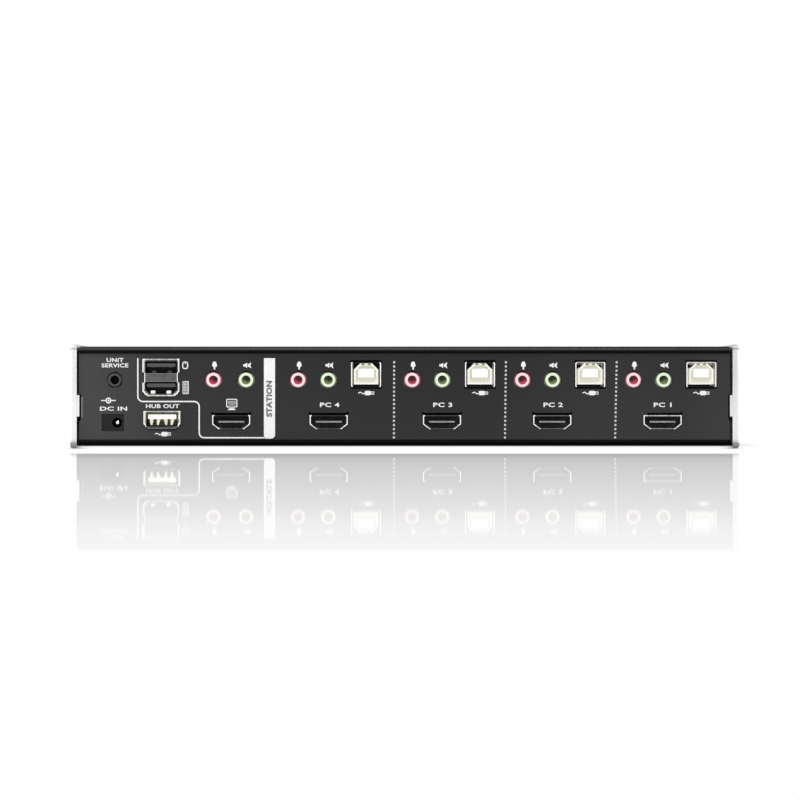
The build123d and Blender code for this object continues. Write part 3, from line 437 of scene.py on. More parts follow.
def coloured_jack(name, nodes, facing, rim_colour, body_colour, bore_painted_light):
    """Jack moulding: a pale glossy ring, and a bore with painted light: a glow brightest on its lower side,
    painted dark just above its axis.
    """
    jack = Finish(name, roughness=0.3, Coat_Weight=0.2, Coat_Roughness=0.15, Emission_Strength=1.0)
    grain = jack.noise(4.0, detail=2.0)
    jack_low, jack_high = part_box(nodes[0])
    depth = jack.y - jack_low.y if facing < 0 else jack_high.y - jack.y
    face = along(jack, depth, 0.0, 0.8 * MM, [(0.05, 1.0), (0.42, 0.0)])
    rim = jack.mix(jack.noise(0.9, detail=2.0) * 0.35, rim_colour, scaled(rim_colour, 0.9))
    rise = jack.z - (jack_high.z - JACK_RING)
    across = sideways(jack, nodes)
    above = rise - DARK_CORE_RISE
    from_axis = (across * across + rise * rise) ** 0.5
    from_core = (across * across + above * above) ** 0.5
    # painted glow: brightest towards the bottom of the bore
    height = along(jack, rise, -JACK_BORE, JACK_BORE, [(0.0, 0.0), (0.45, 0.5), (0.65, 0.95), (1.0, 1.0)])
    # painted shade: the glow fades to dark at the core just above the axis
    painted_glow_fade = rising(jack, from_core, 0.5 * MM, 1.6 * MM)
    painted_light_zone = rising(jack, depth, 0.9 * MM, 1.5 * MM) * (from_axis < JACK_BORE + 0.1 * MM)
    # painted shade: the bore's inside painted near black
    jack.feed(Base_Color=jack.mix(face, jack.mix(painted_light_zone, body_colour, grey(0.004)), rim),
              Emission_Color=jack.mix(painted_light_zone * painted_glow_fade, BLACK, jack.mix(height, *bore_painted_light)),
              Roughness=(0.24 + grain * 0.14).limited())
    jack.bump(grain, 0.01, 0.2)
    return jack.material


def carrier_black(name):
    """Black contact carriers with painted light: a painted highlight on each HDMI tongue's nose, a painted
    sheen greying the double socket's dividing block and its upper tongue's nose.
    """
    carrier = Finish(name, roughness=0.5, Specular_IOR_Level=0.3)
    grain = carrier.noise(6.0, detail=2.0, rough=0.6)
    mottle = carrier.noise(1.6, detail=4.0, rough=0.7)
    nose = carrier.y < hdmi_nose + 0.1 * MM
    low_row = between(carrier.z, hdmi_foot + 2.45 * MM, hdmi_foot + 2.95 * MM)
    base = carrier.mix(mottle, grey(0.006), grey(0.014))
    # painted highlight on the nose of each HDMI tongue
    base = carrier.mix(nose * low_row * (0.15 + mottle * 1.3).limited(), base, grey(0.40))
    # painted sheen greying the dividing block at the double socket's mouth
    block = between(carrier.z, divider_low, divider_high) * (carrier.y < stack_mouth + 0.5 * MM)
    patches = carrier.ramp(carrier.noise(0.9, detail=4.0, rough=0.75), [(0.35, 0.0), (0.65, 1.0)])
    base = carrier.mix(block * (0.25 + patches * 0.7), base, (0.055, 0.056, 0.053))
    # painted sheen on the nose of the upper tongue
    upper_nose = (carrier.y > stack_mouth + 0.5 * MM) * (carrier.y < stack_mouth + 1.0 * MM)
    base = carrier.mix(upper_nose * (carrier.z > divider_low - 3.0 * MM) * 0.6, base, grey(0.04))
    carrier.feed(Base_Color=base, Roughness=(0.42 + grain * 0.2).limited())
    carrier.bump(grain, 0.02, 0.3)
    return carrier.material


def circuit_board(name):
    """Solder mask with buried tracks, pads and a glass weave."""
    board = Finish(name, roughness=0.35, Coat_Weight=0.25, Coat_Roughness=0.2)
    bands = board.noise(0.10, detail=0.0)
    tracks = ripple(board.x, 1.3 * MM, bands * 14.0) > 0.55
    crossings = ripple(board.y, 1.7 * MM, bands * 11.0) > 0.6
    zone = board.ramp(board.noise(0.06, detail=1.0), [(0.49, 0.0), (0.51, 1.0)])
    copper = (tracks * zone).most(crossings * (1.0 - zone))
    vias = board.ramp(board.cells(0.28), [(0.07, 1.0), (0.10, 0.0)])
    weave = ripple(board.x, 0.5 * MM) * ripple(board.y, 0.5 * MM)
    base = board.mix(copper * 0.8, (0.010, 0.085, 0.035), (0.022, 0.16, 0.065))
    base = board.mix(vias, base, (0.62, 0.55, 0.36))
    board.feed(Base_Color=base, Roughness=(0.32 + weave * 0.03 + vias * 0.05).limited())
    board.bump(copper + vias * 0.6 + weave * 0.1, 0.035, 0.5)
    return board.material


def plated_steel(name, colour, roughness):
    """Turned or rolled fixing: machining rings along Z and plating clouds."""
    steel = Finish(name, roughness=roughness, metallic=1.0)
    rings = ripple(steel.z, 0.25 * MM)
    cloud = steel.noise(0.7, detail=3.0, rough=0.6)
    steel.feed(Base_Color=steel.mix(cloud, colour, scaled(colour, 0.8)),
               Roughness=(roughness + cloud * 0.15 + rings * 0.03).limited())
    steel.bump(rings + cloud, 0.006, 0.3)
    return steel.material


def moulded_package(name):
    """Chip package: blasted epoxy with faint swirls."""
    epoxy = Finish(name, roughness=0.55)
    blast = epoxy.noise(8.0, detail=2.0, rough=0.7)
    swirl = epoxy.noise(0.2, detail=3.0)
    epoxy.feed(Base_Color=epoxy.mix(swirl, (0.018, 0.018, 0.019), (0.035, 0.035, 0.036)),
               Roughness=(0.5 + blast * 0.2).limited())
    epoxy.bump(blast, 0.02, 0.4)
    return epoxy.material


def capacitor_can(name):
    """Aluminium can with a dark base, told apart by height."""
    can = Finish(name, roughness=0.3, metallic=1.0)
    base = can.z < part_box("capacitors")[0].z + 0.8 * MM
    brushed = can.noise(3.0, detail=3.0, stretch=(1.0, 1.0, 0.05))
    can.feed(Base_Color=can.mix(base, (0.78, 0.79, 0.81), grey(0.02)),
             Metallic=1.0 - base, Roughness=(0.22 + brushed * 0.2 + base * 0.3).limited())
    can.bump(brushed, 0.008, 0.3)
    return can.material


def light_pipe(name):
    """Clear moulded light pipe with a frosted end."""
    clear = Finish(name, roughness=0.12, IOR=1.49, Transmission_Weight=0.55)
    frost = clear.noise(5.0, detail=2.0)
    clear.feed(Base_Color=clear.mix(frost, (0.70, 0.78, 0.80), (0.86, 0.90, 0.91)),
               Roughness=(0.10 + frost * 0.18).limited())
    clear.bump(frost, 0.01, 0.3)
    return clear.material


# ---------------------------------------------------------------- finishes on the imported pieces
panel_low, panel_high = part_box("rear_panel")
cover_low, cover_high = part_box("top_cover")
rail_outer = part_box("right_side_rail")[1].x
hdmi_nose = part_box("hdmi_inserts")[0].y
hdmi_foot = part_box("hdmi_shell_1")[0].z
stack_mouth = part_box("usb_stack_insert")[0].y
stack_low, stack_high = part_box("usb_stack_shell")
stack_centre = (stack_low + stack_high) / 2
divider_low = stack_centre.z - 1.65 * MM
divider_high = stack_centre.z + 1.65 * MM

COVER_BLACK = cover_paint()
# A darker copy of the black paint without sheen: painted shade, so the tray's edge under the panel reads
# dark.
TRAY_BLACK = powder_paint("black_tray_paint", grey(0.0015), grey(0.01),
                          dust=0.02, sheen=0.0)[0].material
PANEL_BLACK = panel_paint()
RAIL_SILVER = satin_rail("satin_silver_rail")
BEZEL_GLOSS = gloss_moulding("gloss_black_moulding", (0.006, 0.006, 0.0065))
BUTTON_SATIN = matt_moulding("satin_grey_cap", (0.33, 0.335, 0.34), depth=0.012)
NICKEL = nickel_shell("nickel_plated_shell", (0.74, 0.735, 0.71))
TIN = nickel_shell("tinned_contact", (0.80, 0.795, 0.77))
GOLD = nickel_shell("gold_flashed_contact", (0.80, 0.60, 0.30))
DARK_GOLD = nickel_shell("shadowed_contact", (0.10, 0.08, 0.05))
DARK_NICKEL = nickel_shell("shadowed_nickel", grey(0.05))
CREAM = nickel_shell("pale_contact_spring", (0.70, 0.68, 0.52))
BLACK_NYLON = matt_moulding("black_nylon", grey(0.007), sheen=0.1)
CARRIER_BLACK = carrier_black("black_contact_carrier")
GASKET = foam_strip()
SEAL = seal_rubber()
# Black strips standing in for shade: painted shade in the slot below each type B socket.
SLOT_SHADE_BLACK = matt_moulding("black_slot_shade", grey(0.002), shine=0.05)
SHADOW = matt_moulding("dark_window", (0.035, 0.03, 0.022))
# A darker copy of nickel: painted shade on the divider's bent edge.
SHADED_NICKEL = nickel_shell("shaded_nickel_edge", (0.22, 0.22, 0.215))
IVORY_NYLON = matt_moulding("ivory_nylon", (0.50, 0.495, 0.46), depth=0.01)
IVORY_SLEEVE = ivory_sleeve("ivory_sleeve")
# A darker copy of the black nylon for the DC jack: painted shade of its recess.
SHADED_NYLON = matt_moulding("dc_jack_shaded_nylon", grey(0.0015), shine=0.12)
BOARD_GREEN = circuit_board("green_solder_mask")
FIXING_STEEL = plated_steel("zinc_plated_steel", (0.66, 0.66, 0.64), 0.3)
SCREW_BLACK = plated_steel("black_zinc_screw", (0.05, 0.05, 0.052), 0.35)
CHIP_EPOXY = moulded_package("chip_epoxy")
CAN = capacitor_can("capacitor_can")
LENS = light_pipe("clear_light_pipe")
LAMP = matt_moulding("lamp_phosphor", (0.80, 0.78, 0.52))
WHITE_INK = print_ink("white_print", (0.47, 0.47, 0.465), (0.38, 0.38, 0.375))
DASH_INK = print_ink("dash_print", (0.33, 0.33, 0.325), (0.24, 0.24, 0.235))
DARK_INK = print_ink("dark_print", (0.045, 0.045, 0.047), grey(0.08))
# Ring colour, body colour, and the painted light in the bore: its glowing lower and its dim upper colour.
ROSE = ((0.53, 0.385, 0.395), (0.27, 0.04, 0.075), ((0.60, 0.06, 0.12), (0.09, 0.004, 0.012)))
MOSS = ((0.42, 0.47, 0.36), (0.09, 0.15, 0.05), ((0.20, 0.27, 0.10), (0.006, 0.018, 0.002)))
REAR_MIC_JACKS = ["mic_jack_console"] + ["mic_jack_%d" % port for port in PORTS]
REAR_SPEAKER_JACKS = ["speaker_jack_console"] + ["speaker_jack_%d" % port for port in PORTS]
PINK = [coloured_jack("pink_jack_rear", REAR_MIC_JACKS, -1, *ROSE),
        coloured_jack("pink_jack_front", ["front_mic_jack"], 1, *ROSE)]
LIME = [coloured_jack("lime_jack_rear", REAR_SPEAKER_JACKS, -1, *MOSS),
        coloured_jack("lime_jack_front", ["front_speaker_jack"], 1, *MOSS)]

FINISH_OF = {
    "base_tray": TRAY_BLACK, "top_cover": COVER_BLACK, "rear_panel": PANEL_BLACK,
    "left_side_rail": RAIL_SILVER, "right_side_rail": RAIL_SILVER, "front_bezel": BEZEL_GLOSS,
    "main_board": BOARD_GREEN, "upper_board": BOARD_GREEN, "front_board": BOARD_GREEN,
    "board_standoffs": FIXING_STEEL, "board_spacers": FIXING_STEEL, "board_screws": FIXING_STEEL,
    "case_screws": SCREW_BLACK, "board_link": BLACK_NYLON, "front_link": BLACK_NYLON,
    "button_switches": BLACK_NYLON, "video_switch_chip": CHIP_EPOXY, "controller_chips": CHIP_EPOXY,
    "capacitors": CAN, "hdmi_inserts": CARRIER_BLACK, "usb_stack_insert": CARRIER_BLACK,
    "usb_b_inserts": IVORY_SLEEVE, "hub_usb_inserts": IVORY_NYLON, "service_jack": BLACK_NYLON,
    "dc_jack": SHADED_NYLON, "dc_jack_pin": TIN, "indicator_lenses": LENS, "indicator_lamps": LAMP,
    "front_mic_jack": PINK[1], "front_speaker_jack": LIME[1],
    "mic_jack_console": PINK[0], "speaker_jack_console": LIME[0],
    "front_usb_shell": NICKEL,
}
HDMI_SHAPE = (6.7, 4.5, 2.4)                            # mm: flanks, slants, height of the slants
HDMI_PAINTED_HIGHLIGHTS = {"console": (0.03, 0.06), "4": (0.03, 0.06), "3": (0.06, 0.08),
              "2": (0.12, 0.12), "1": (0.6, 0.25)}       # painted highlights of the top and bottom runs
for place, shine in HDMI_PAINTED_HIGHLIGHTS.items():
    node = "hdmi_shell_" + place
    FINISH_OF[node] = edge_lit_nickel("hdmi_nickel_" + place, node, HDMI_SHAPE, *shine)
FINISH_OF["usb_stack_shell"] = edge_lit_nickel("stack_nickel", "usb_stack_shell", (6.3, 4.3, 2.2), 0.5, 0.7)
FINISH_OF["hub_usb_shell"] = edge_lit_nickel("hub_nickel", "hub_usb_shell", (6.3, 9.0, 1.5), 0.6, 0.16,
                                             (0.80, 0.78, 0.70))
USB_B_SHAPE = (5.35, 9.0, 0.0)
# painted highlight on the top run of each type B shell
USB_B_PAINTED_HIGHLIGHTS = {1: 0.7, 2: 0.5, 3: 0.0, 4: 0.0}
for port in PORTS:
    shell = "usb_b_shell_%d" % port
    FINISH_OF[shell] = edge_lit_nickel("usb_b_nickel_%d" % port, shell, USB_B_SHAPE, USB_B_PAINTED_HIGHLIGHTS[port], 0.0)
    FINISH_OF["mic_jack_%d" % port] = PINK[0]
    FINISH_OF["speaker_jack_%d" % port] = LIME[0]
    FINISH_OF["port_button_%d" % port] = BUTTON_SATIN
    FINISH_OF["switch_plunger_%d" % port] = BLACK_NYLON

for node_name, node_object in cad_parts.items():
    if not node_object.material_slots:
        node_object.data.materials.append(FINISH_OF[node_name])
    for material_slot in node_object.material_slots:
        material_slot.material = FINISH_OF[node_name]


# ---------------------------------------------------------------- making pieces
def keep(piece, body=CASE):
    """A finished piece rides with a body."""
    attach(piece, body)
    return piece


def new_object(name, data):
    """Puts data in the scene as an object at the origin."""
    made = bpy.data.objects.new(name, data)
    bpy.context.scene.collection.objects.link(made)
    return made


def solved_mesh(holder):
    """Plain mesh of an object with its curve or modifiers worked out; the object goes."""
    bpy.context.view_layer.update()
    solved = holder.evaluated_get(bpy.context.evaluated_depsgraph_get())
    mesh = bpy.data.meshes.new_from_object(solved)
    holder.modifiers.clear()
    bpy.data.objects.remove(holder)
    return mesh


def mesh_piece(name, bm, material):
    """Turns a finished bmesh into a piece at the origin."""
    bmesh.ops.recalc_face_normals(bm, faces=bm.faces)
    mesh = bpy.data.meshes.new(name)
    bm.to_mesh(mesh)
    bm.free()
    mesh.materials.append(material)
    return new_object(name, mesh)


def plate(bm, outline, near_y, far_y):
    """A flat plate facing -Y: an outline of (x, z) points given a thickness."""
    front = [bm.verts.new((x, near_y, z)) for x, z in outline]
    back = [bm.verts.new((x, far_y, z)) for x, z in outline]
    bm.faces.new(front)
    bm.faces.new(list(reversed(back)))
    count = len(outline)
    for n in range(count):
        m = (n + 1) % count
        bm.faces.new((front[n], back[n], back[m], front[m]))


def band(bm, inner, outer, near_y, far_y):
    """A closed flat ring between two outlines with the same number of points."""
    loops = [[bm.verts.new((x, y, z)) for x, z in points]
             for y in (near_y, far_y) for points in (inner, outer)]
    count = len(inner)
    for n in range(count):
        m = (n + 1) % count
        front_in, front_out, back_in, back_out = loops
        bm.faces.new((front_in[n], front_in[m], front_out[m], front_out[n]))
        bm.faces.new((back_in[n], back_out[n], back_out[m], back_in[m]))
        bm.faces.new((front_out[n], front_out[m], back_out[m], back_out[n]))
        bm.faces.new((front_in[n], back_in[n], back_in[m], front_in[m]))


def arc(x, z, radius, start, end, steps):
    """Points of an arc, angles in degrees from +X towards +Z."""
    turn = [math.radians(start + (end - start) * n / steps) for n in range(steps + 1)]
    return [(x + radius * math.cos(a), z + radius * math.sin(a)) for a in turn]


def rounded(x, z, width, height, radius, steps=5):
    """Outline of a rectangle with rounded corners about a centre."""
    points = []
    for sx, sz, start in ((1, 1, 0), (-1, 1, 90), (-1, -1, 180), (1, -1, 270)):
        corner_x = x + sx * (width / 2 - radius)
        corner_z = z + sz * (height / 2 - radius)
        points += arc(corner_x, corner_z, radius, start, start + 90, steps)
    return points


def offset_path(points, side):
    """A path moved sideways by a signed distance, mitred at its corners."""
    moved = []
    for n, (x, z) in enumerate(points):
        before = Vector(points[n]) - Vector(points[max(n - 1, 0)])
        after = Vector(points[min(n + 1, len(points) - 1)]) - Vector(points[n])
        before = (before if before.length else after).normalized()
        after = (after if after.length else before).normalized()
        normal = Vector((-(before.y + after.y), before.x + after.x)).normalized()
        stretch = 1.0 / max(0.4, normal.dot(Vector((-before.y, before.x))))
        moved.append((x + normal.x * side * stretch, z + normal.y * side * stretch))
    return moved


def round_corners(points, radius):
    """Replaces the inner corners of a path of straight runs by arcs."""
    steps = 6
    path = [points[0]]
    for before, corner, after in zip(points, points[1:], points[2:]):
        c = Vector(corner)
        a = (Vector(before) - c).normalized() * radius
        b = (Vector(after) - c).normalized() * radius
        for n in range(steps + 1):
            turn = math.pi / 2 * n / steps
            path.append(tuple(c + a * (1 - math.sin(turn)) + b * (1 - math.cos(turn))))
    return path + [points[-1]]


INK = 0.03 * MM
INK_FRONT = panel_low.y - INK
INK_BACK = panel_low.y


def lettering(name, words, height, x, z, material, stretch=1.25, turn=0.0, facing=-1, y=None, heavy=0.035):
    """Printed letters of a given cap height, centred on a point, as a thin raised mesh."""
    curve = bpy.data.curves.new(name, "FONT")
    curve.body = words
    curve.align_x = "CENTER"
    curve.align_y = "CENTER"
    curve.size = height / 0.70
    curve.offset = heavy * height
    curve.extrude = INK / 2
    curve.resolution_u = 3
    curve.space_character = 1.06
    mesh = solved_mesh(new_object(name + "_curve", curve))
    surface_y = (panel_low.y if y is None else y) + facing * INK / 2
    upright = Matrix.Rotation(math.radians(90), 4, "X")
    if facing > 0:
        upright = Matrix.Rotation(math.radians(180), 4, "Z") @ upright
    shape = Matrix.Rotation(turn, 4, "Z") @ Matrix.Diagonal((stretch, 1, 1, 1))
    mesh.transform(Matrix.Translation((x, surface_y, z)) @ upright @ shape)
    mesh.name = name
    mesh.materials.clear()
    mesh.materials.append(material)
    return new_object(name, mesh)


# ---------------------------------------------------------------- repeated small pieces
def row_tree(name):
    """Geometry Nodes: a row of equal blocks from a start point, a step apart."""
    tree = bpy.data.node_groups.new(name, "GeometryNodeTree")
    tree.is_modifier = True
    face = tree.interface
    face.new_socket("Geometry", in_out="OUTPUT", socket_type="NodeSocketGeometry")
    for label, kind in (("Count", "NodeSocketInt"), ("Start", "NodeSocketVector"),
                        ("Step", "NodeSocketVector"), ("Block Size", "NodeSocketVector"),
                        ("Material", "NodeSocketMaterial")):
        face.new_socket(label, in_out="INPUT", socket_type=kind)
    nodes = tree.nodes
    given = nodes.new("NodeGroupInput")
    result = nodes.new("NodeGroupOutput")
    line = nodes.new("GeometryNodeMeshLine")
    line.mode = "OFFSET"
    block = nodes.new("GeometryNodeMeshCube")
    spread = nodes.new("GeometryNodeInstanceOnPoints")
    real = nodes.new("GeometryNodeRealizeInstances")
    coat = nodes.new("GeometryNodeSetMaterial")
    for source, output, target, socket in (
            (given, "Count", line, "Count"), (given, "Start", line, "Start Location"),
            (given, "Step", line, "Offset"), (given, "Block Size", block, "Size"),
            (line, "Mesh", spread, "Points"), (block, "Mesh", spread, "Instance"),
            (spread, "Instances", real, "Geometry"), (real, "Geometry", coat, "Geometry"),
            (given, "Material", coat, "Material"), (coat, "Geometry", result, "Geometry")):
        tree.links.new(source.outputs[output], target.inputs[socket])
    return tree


ROW_TREE = row_tree("row_of_blocks")


def grown_mesh(tree, settings):
    """Evaluates a Geometry Nodes tree with its named inputs and returns a plain mesh."""
    carrier = new_object("carrier", bpy.data.meshes.new("seed"))
    modifier = carrier.modifiers.new("grow", "NODES")
    modifier.node_group = tree
    for item in tree.interface.items_tree:
        if item.item_type == "SOCKET" and item.in_out == "INPUT" and item.name in settings:
            modifier[item.identifier] = settings[item.name]
    return solved_mesh(carrier)


def rows_piece(name, rows, material):
    """One piece from several rows of blocks: (count, start, step, block size) each."""
    bm = bmesh.new()
    for count, start, step, block in rows:
        settings = {"Count": count, "Start": start, "Step": step, "Block Size": block, "Material": material}
        mesh = grown_mesh(ROW_TREE, settings)
        bm.from_mesh(mesh)
        bpy.data.meshes.remove(mesh)
    return mesh_piece(name, bm, material)


# ---------------------------------------------------------------- print on the connector panel
def ink_shape(bm, outline):
    plate(bm, outline, INK_FRONT, INK_BACK)


def ink_block(bm, x, z, width, height, radius, steps=5):
    """A filled rectangle with rounded corners, its sizes in millimetres."""
    ink_shape(bm, rounded(x, z, width * MM, height * MM, radius * MM, steps))


def ink_ring(bm, x, z, hole, outside):
    """A rounded frame: (width, height, radius) of its hole and of its outside, in millimetres."""
    inner, outer = (rounded(x, z, *(length * MM for length in sizes)) for sizes in (hole, outside))
    band(bm, inner, outer, INK_FRONT, INK_BACK)


def ink_line(bm, points, width):
    """A printed line of even width along a path."""
    left = offset_path(points, width / 2)
    right = offset_path(points, -width / 2)
    ink_shape(bm, left + list(reversed(right)))


def about(x, z, points):
    """Points given in millimetres from a centre."""
    return [(x + u * MM, z + v * MM) for u, v in points]


def print_microphone(bm, x, z):
    """A round head over a wider cradle on a short stem."""
    head = arc(x, z + 0.75 * MM, 0.75 * MM, 0, 180, 8)
    side = [(-0.98, 0.05), (-0.88, -0.35), (-0.32, -0.75), (-0.28, -1.65)]
    ink_shape(bm, head + about(x, z, side + [(-u, v) for u, v in reversed(side)]))


def print_speaker(bm, x, z):
    """A horn and one bold notched wave."""
    horn = [(-1.65, -0.45), (-1.65, 0.45), (-1.0, 0.45), (-0.1, 1.05), (-0.1, -1.05), (-1.0, -0.45)]
    wave = [(0.1, -0.35), (0.1, 0.35), (1.5, 1.2), (1.15, 0.0), (1.5, -1.2)]
    for outline in (horn, wave):
        ink_shape(bm, about(x, z, outline))


def print_plug(bm, x, z):
    """A plain cable and plug outline: a cord, a grip and a square tip."""
    ink_line(bm, about(x, z, [(-3.2, 0.0), (-2.2, 0.35), (-1.3, -0.35), (-0.5, 0.0)]), 0.36 * MM)
    ink_block(bm, x + 0.6 * MM, z, 2.3, 1.7, 0.3)
    ink_ring(bm, x + 2.45 * MM, z, (0.8, 0.55, 0.05), (1.3, 1.15, 0.12))


def print_screen(bm, x, z):
    """A screen with a hatched face on a flat stand."""
    ink_ring(bm, x, z + 0.5 * MM, (3.7, 2.7, 0.35), (4.4, 3.4, 0.6))
    for n in range(4):
        ink_block(bm, x, z - 0.25 * MM + n * 0.5 * MM, 3.2, 0.15, 0.05)
    ink_shape(bm, about(x, z, [(-1.6, -2.2), (1.6, -2.2), (1.0, -1.5), (-1.0, -1.5)]))


def print_mouse(bm, x, z):
    """A rounded mouse with its wheel."""
    ink_ring(bm, x, z, (1.5, 2.2, 0.55), (2.35, 3.0, 0.95))
    ink_block(bm, x, z + 0.85 * MM, 0.3, 0.7, 0.1)


def print_keyboard(bm, x, z):
    """A keyboard stood on end: an outline round three columns of keys."""
    ink_ring(bm, x, z, (1.85, 4.5, 0.15), (2.4, 5.05, 0.3))
    for column in (-0.55, 0.0, 0.55):
        for row in range(7):
            ink_block(bm, x + column * MM, z + (row - 3) * 0.6 * MM, 0.36, 0.4, 0.05, 1)


def print_inlet(bm, x, z):
    """Power inlet mark: a ring round a dot between two lines."""
    ink_ring(bm, x, z, (1.3, 1.3, 0.6), (2.3, 2.3, 1.1))
    ink_block(bm, x, z, 0.7, 0.7, 0.3)
    for ends in ((-2.9, -1.1), (1.1, 2.9)):
        ink_line(bm, about(x, z, [(end, 0.0) for end in ends]), 0.4 * MM)


jack_z = middle("mic_jack_console").z
console_hdmi = middle("hdmi_shell_console")
stack = middle("usb_stack_shell")
hub = middle("hub_usb_shell")
service = middle("service_jack")
inlet = middle("dc_jack")
usb_b = {port: middle("usb_b_shell_%d" % port) for port in PORTS}

ICON_Z = jack_z + 5.8 * MM
LINE_LEFT = stack.x - 9.2 * MM
LINE_TURN = stack.x + 15.05 * MM
LINE_TOP = panel_high.z - 2.1 * MM
LINE_SHELF = 18.5 * MM
LINE_FOOT = panel_low.z + 1.2 * MM
BAR_LEFT = middle("speaker_jack_console").x + 7.0 * MM
BAR_RIGHT = BAR_LEFT + 4.4 * MM

marks = bmesh.new()
for place in PLACES:
    print_microphone(marks, middle("mic_jack_" + place).x + 0.4 * MM, ICON_Z)
    print_speaker(marks, middle("speaker_jack_" + place).x + 0.5 * MM, ICON_Z)
for port in PORTS:
    print_plug(marks, usb_b[port].x + 0.1 * MM, usb_b[port].z - 7.3 * MM)
print_plug(marks, hub.x + 0.3 * MM, hub.z - 5.6 * MM)
print_screen(marks, console_hdmi.x + 0.2 * MM, console_hdmi.z + 7.0 * MM)
print_mouse(marks, stack.x + 9.5 * MM, ICON_Z)
print_keyboard(marks, stack.x + 9.7 * MM, 24.0 * MM)
print_inlet(marks, inlet.x - 1.7 * MM, 18.9 * MM)
frame_line = [(LINE_LEFT, LINE_TOP), (LINE_LEFT, LINE_SHELF), (LINE_TURN, LINE_SHELF),
              (LINE_TURN, LINE_FOOT), (BAR_LEFT + 0.3 * MM, LINE_FOOT)]
ink_line(marks, round_corners(frame_line, 2.0 * MM), 0.52 * MM)
bar_low = LINE_FOOT - 0.33 * MM
bar_corner = arc(BAR_RIGHT - 1.6 * MM, bar_low + 1.6 * MM, 1.6 * MM, 270, 360, 6)
ink_shape(marks, [(BAR_LEFT, bar_low)] + bar_corner + [(BAR_RIGHT, LINE_TOP), (BAR_LEFT, LINE_TOP)])
keep(mesh_piece("panel_marks", marks, WHITE_INK))

for port in PORTS:
    socket = middle("hdmi_shell_%d" % port)
    keep(lettering("port_label_%d" % port, "PC %d" % port, 1.65 * MM, socket.x + 0.3 * MM,
                   socket.z + 6.75 * MM, WHITE_INK, stretch=1.6))
for name, words, x, z, stretch in (("hub_label", "HUB OUT", hub.x + 0.1 * MM, hub.z + 5.35 * MM, 1.35),
                                   ("service_label", "UNIT\nSERVICE", service.x, 33.75 * MM, 1.3),
                                   ("inlet_label", "DC IN", inlet.x + 0.3 * MM, 15.6 * MM, 1.8)):
    keep(lettering(name, words, 1.5 * MM, x, z, WHITE_INK, stretch=stretch))
keep(lettering("bar_label", "STATION", 2.05 * MM, (BAR_LEFT + BAR_RIGHT) / 2, 19.6 * MM, DARK_INK,
               stretch=1.12, heavy=0.075, turn=math.radians(90), y=INK_FRONT))

DASHES = 19
DASH_PITCH = 1.65 * MM
DASH_SIZE = (0.75 * MM, INK, 0.8 * MM)
DASH_PLACES = {4: (0.65 * MM, 0.1 * MM), 3: (0.40 * MM, 0.4 * MM), 2: (0.34 * MM, 0.65 * MM)}
dash_rows = []
for port, (shift, lean) in DASH_PLACES.items():
    right_of_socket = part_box("usb_b_shell_%d" % port)[1].x
    left_of_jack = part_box("mic_jack_%d" % (port - 1))[0].x
    dash_x = (right_of_socket + left_of_jack) / 2
    start = (dash_x + shift - lean / 2, panel_low.y - INK / 2, panel_low.z + 1.3 * MM)
    dash_rows.append((DASHES, start, (lean / DASHES, 0, DASH_PITCH), DASH_SIZE))
keep(rows_piece("group_dashes", dash_rows, DASH_INK))

for port in PORTS:
    button = "port_button_%d" % port
    numeral = lettering("numeral_%d" % port, str(port), 3.4 * MM, middle(button).x, middle(button).z,
                        DARK_INK, facing=1, y=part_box(button)[1].y, stretch=1.1)
    keep(numeral, body=button)
bezel_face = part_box("front_bezel")[1].y
for jack, words in (("front_mic_jack", "MIC"), ("front_speaker_jack", "EAR")):
    keep(lettering(jack + "_label", words, 1.6 * MM, middle(jack).x, middle(jack).z + 5.6 * MM, WHITE_INK,
                   facing=1, y=bezel_face, stretch=1.2))


# ---------------------------------------------------------------- contacts and springs in the sockets
HDMI_TONGUE = 0.8 * MM
HDMI_TONGUE_RISE = 2.7 * MM
USB_B_CORE_RISE = 5.55 * MM
USB_B_PIN_PITCH = 2.5 * MM
USB_A_TONGUE_RISE = 3.8 * MM                            # shell's underside to its tongue's
HUB_PIN_PITCH = 2.75 * MM
TAB_SPREAD = 3.1 * MM


def hdmi_contacts():
    """Nineteen contacts a socket: ten above the tongue and nine staggered below it."""
    pitch = 1.0 * MM
    length = 6.0 * MM
    rows = []
    for place in PLACES:
        shell = "hdmi_shell_" + place
        centre = middle(shell).x
        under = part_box(shell)[0].z + HDMI_TONGUE_RISE
        for count, z in ((10, under + HDMI_TONGUE), (9, under)):
            start = (centre - (count - 1) * pitch / 2, hdmi_nose + 1.0 * MM + length / 2, z)
            rows.append((count, start, (pitch, 0, 0), (0.45 * MM, length, 0.08 * MM)))
    return rows_piece("hdmi_contacts", rows, DARK_GOLD)


def usb_b_contacts():
    """Two contacts above and two below the square core of each type B socket."""
    rows = []
    for port in PORTS:
        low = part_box("usb_b_shell_%d" % port)[0]
        core = low.z + USB_B_CORE_RISE
        for z in (core + 1.71 * MM, core - 1.71 * MM):
            start = (usb_b[port].x - USB_B_PIN_PITCH / 2, low.y + 4.2 * MM, z)
            rows.append((2, start, (USB_B_PIN_PITCH, 0, 0), (1.0 * MM, 5.0 * MM, 0.12 * MM)))
    return rows_piece("usb_b_contacts", rows, TIN)


def usb_b_windows():
    """Two small dark patches in the top of each type B socket's sleeve: painted shade in its contact slots.
    """
    low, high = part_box("usb_b_inserts")
    rows = []
    for port in PORTS:
        start = (usb_b[port].x - USB_B_PIN_PITCH / 2, low.y - 0.01 * MM, high.z - 0.38 * MM)
        rows.append((2, start, (USB_B_PIN_PITCH, 0, 0), (1.15 * MM, 0.05 * MM, 0.5 * MM)))
    return rows_piece("usb_b_windows", rows, SHADOW)


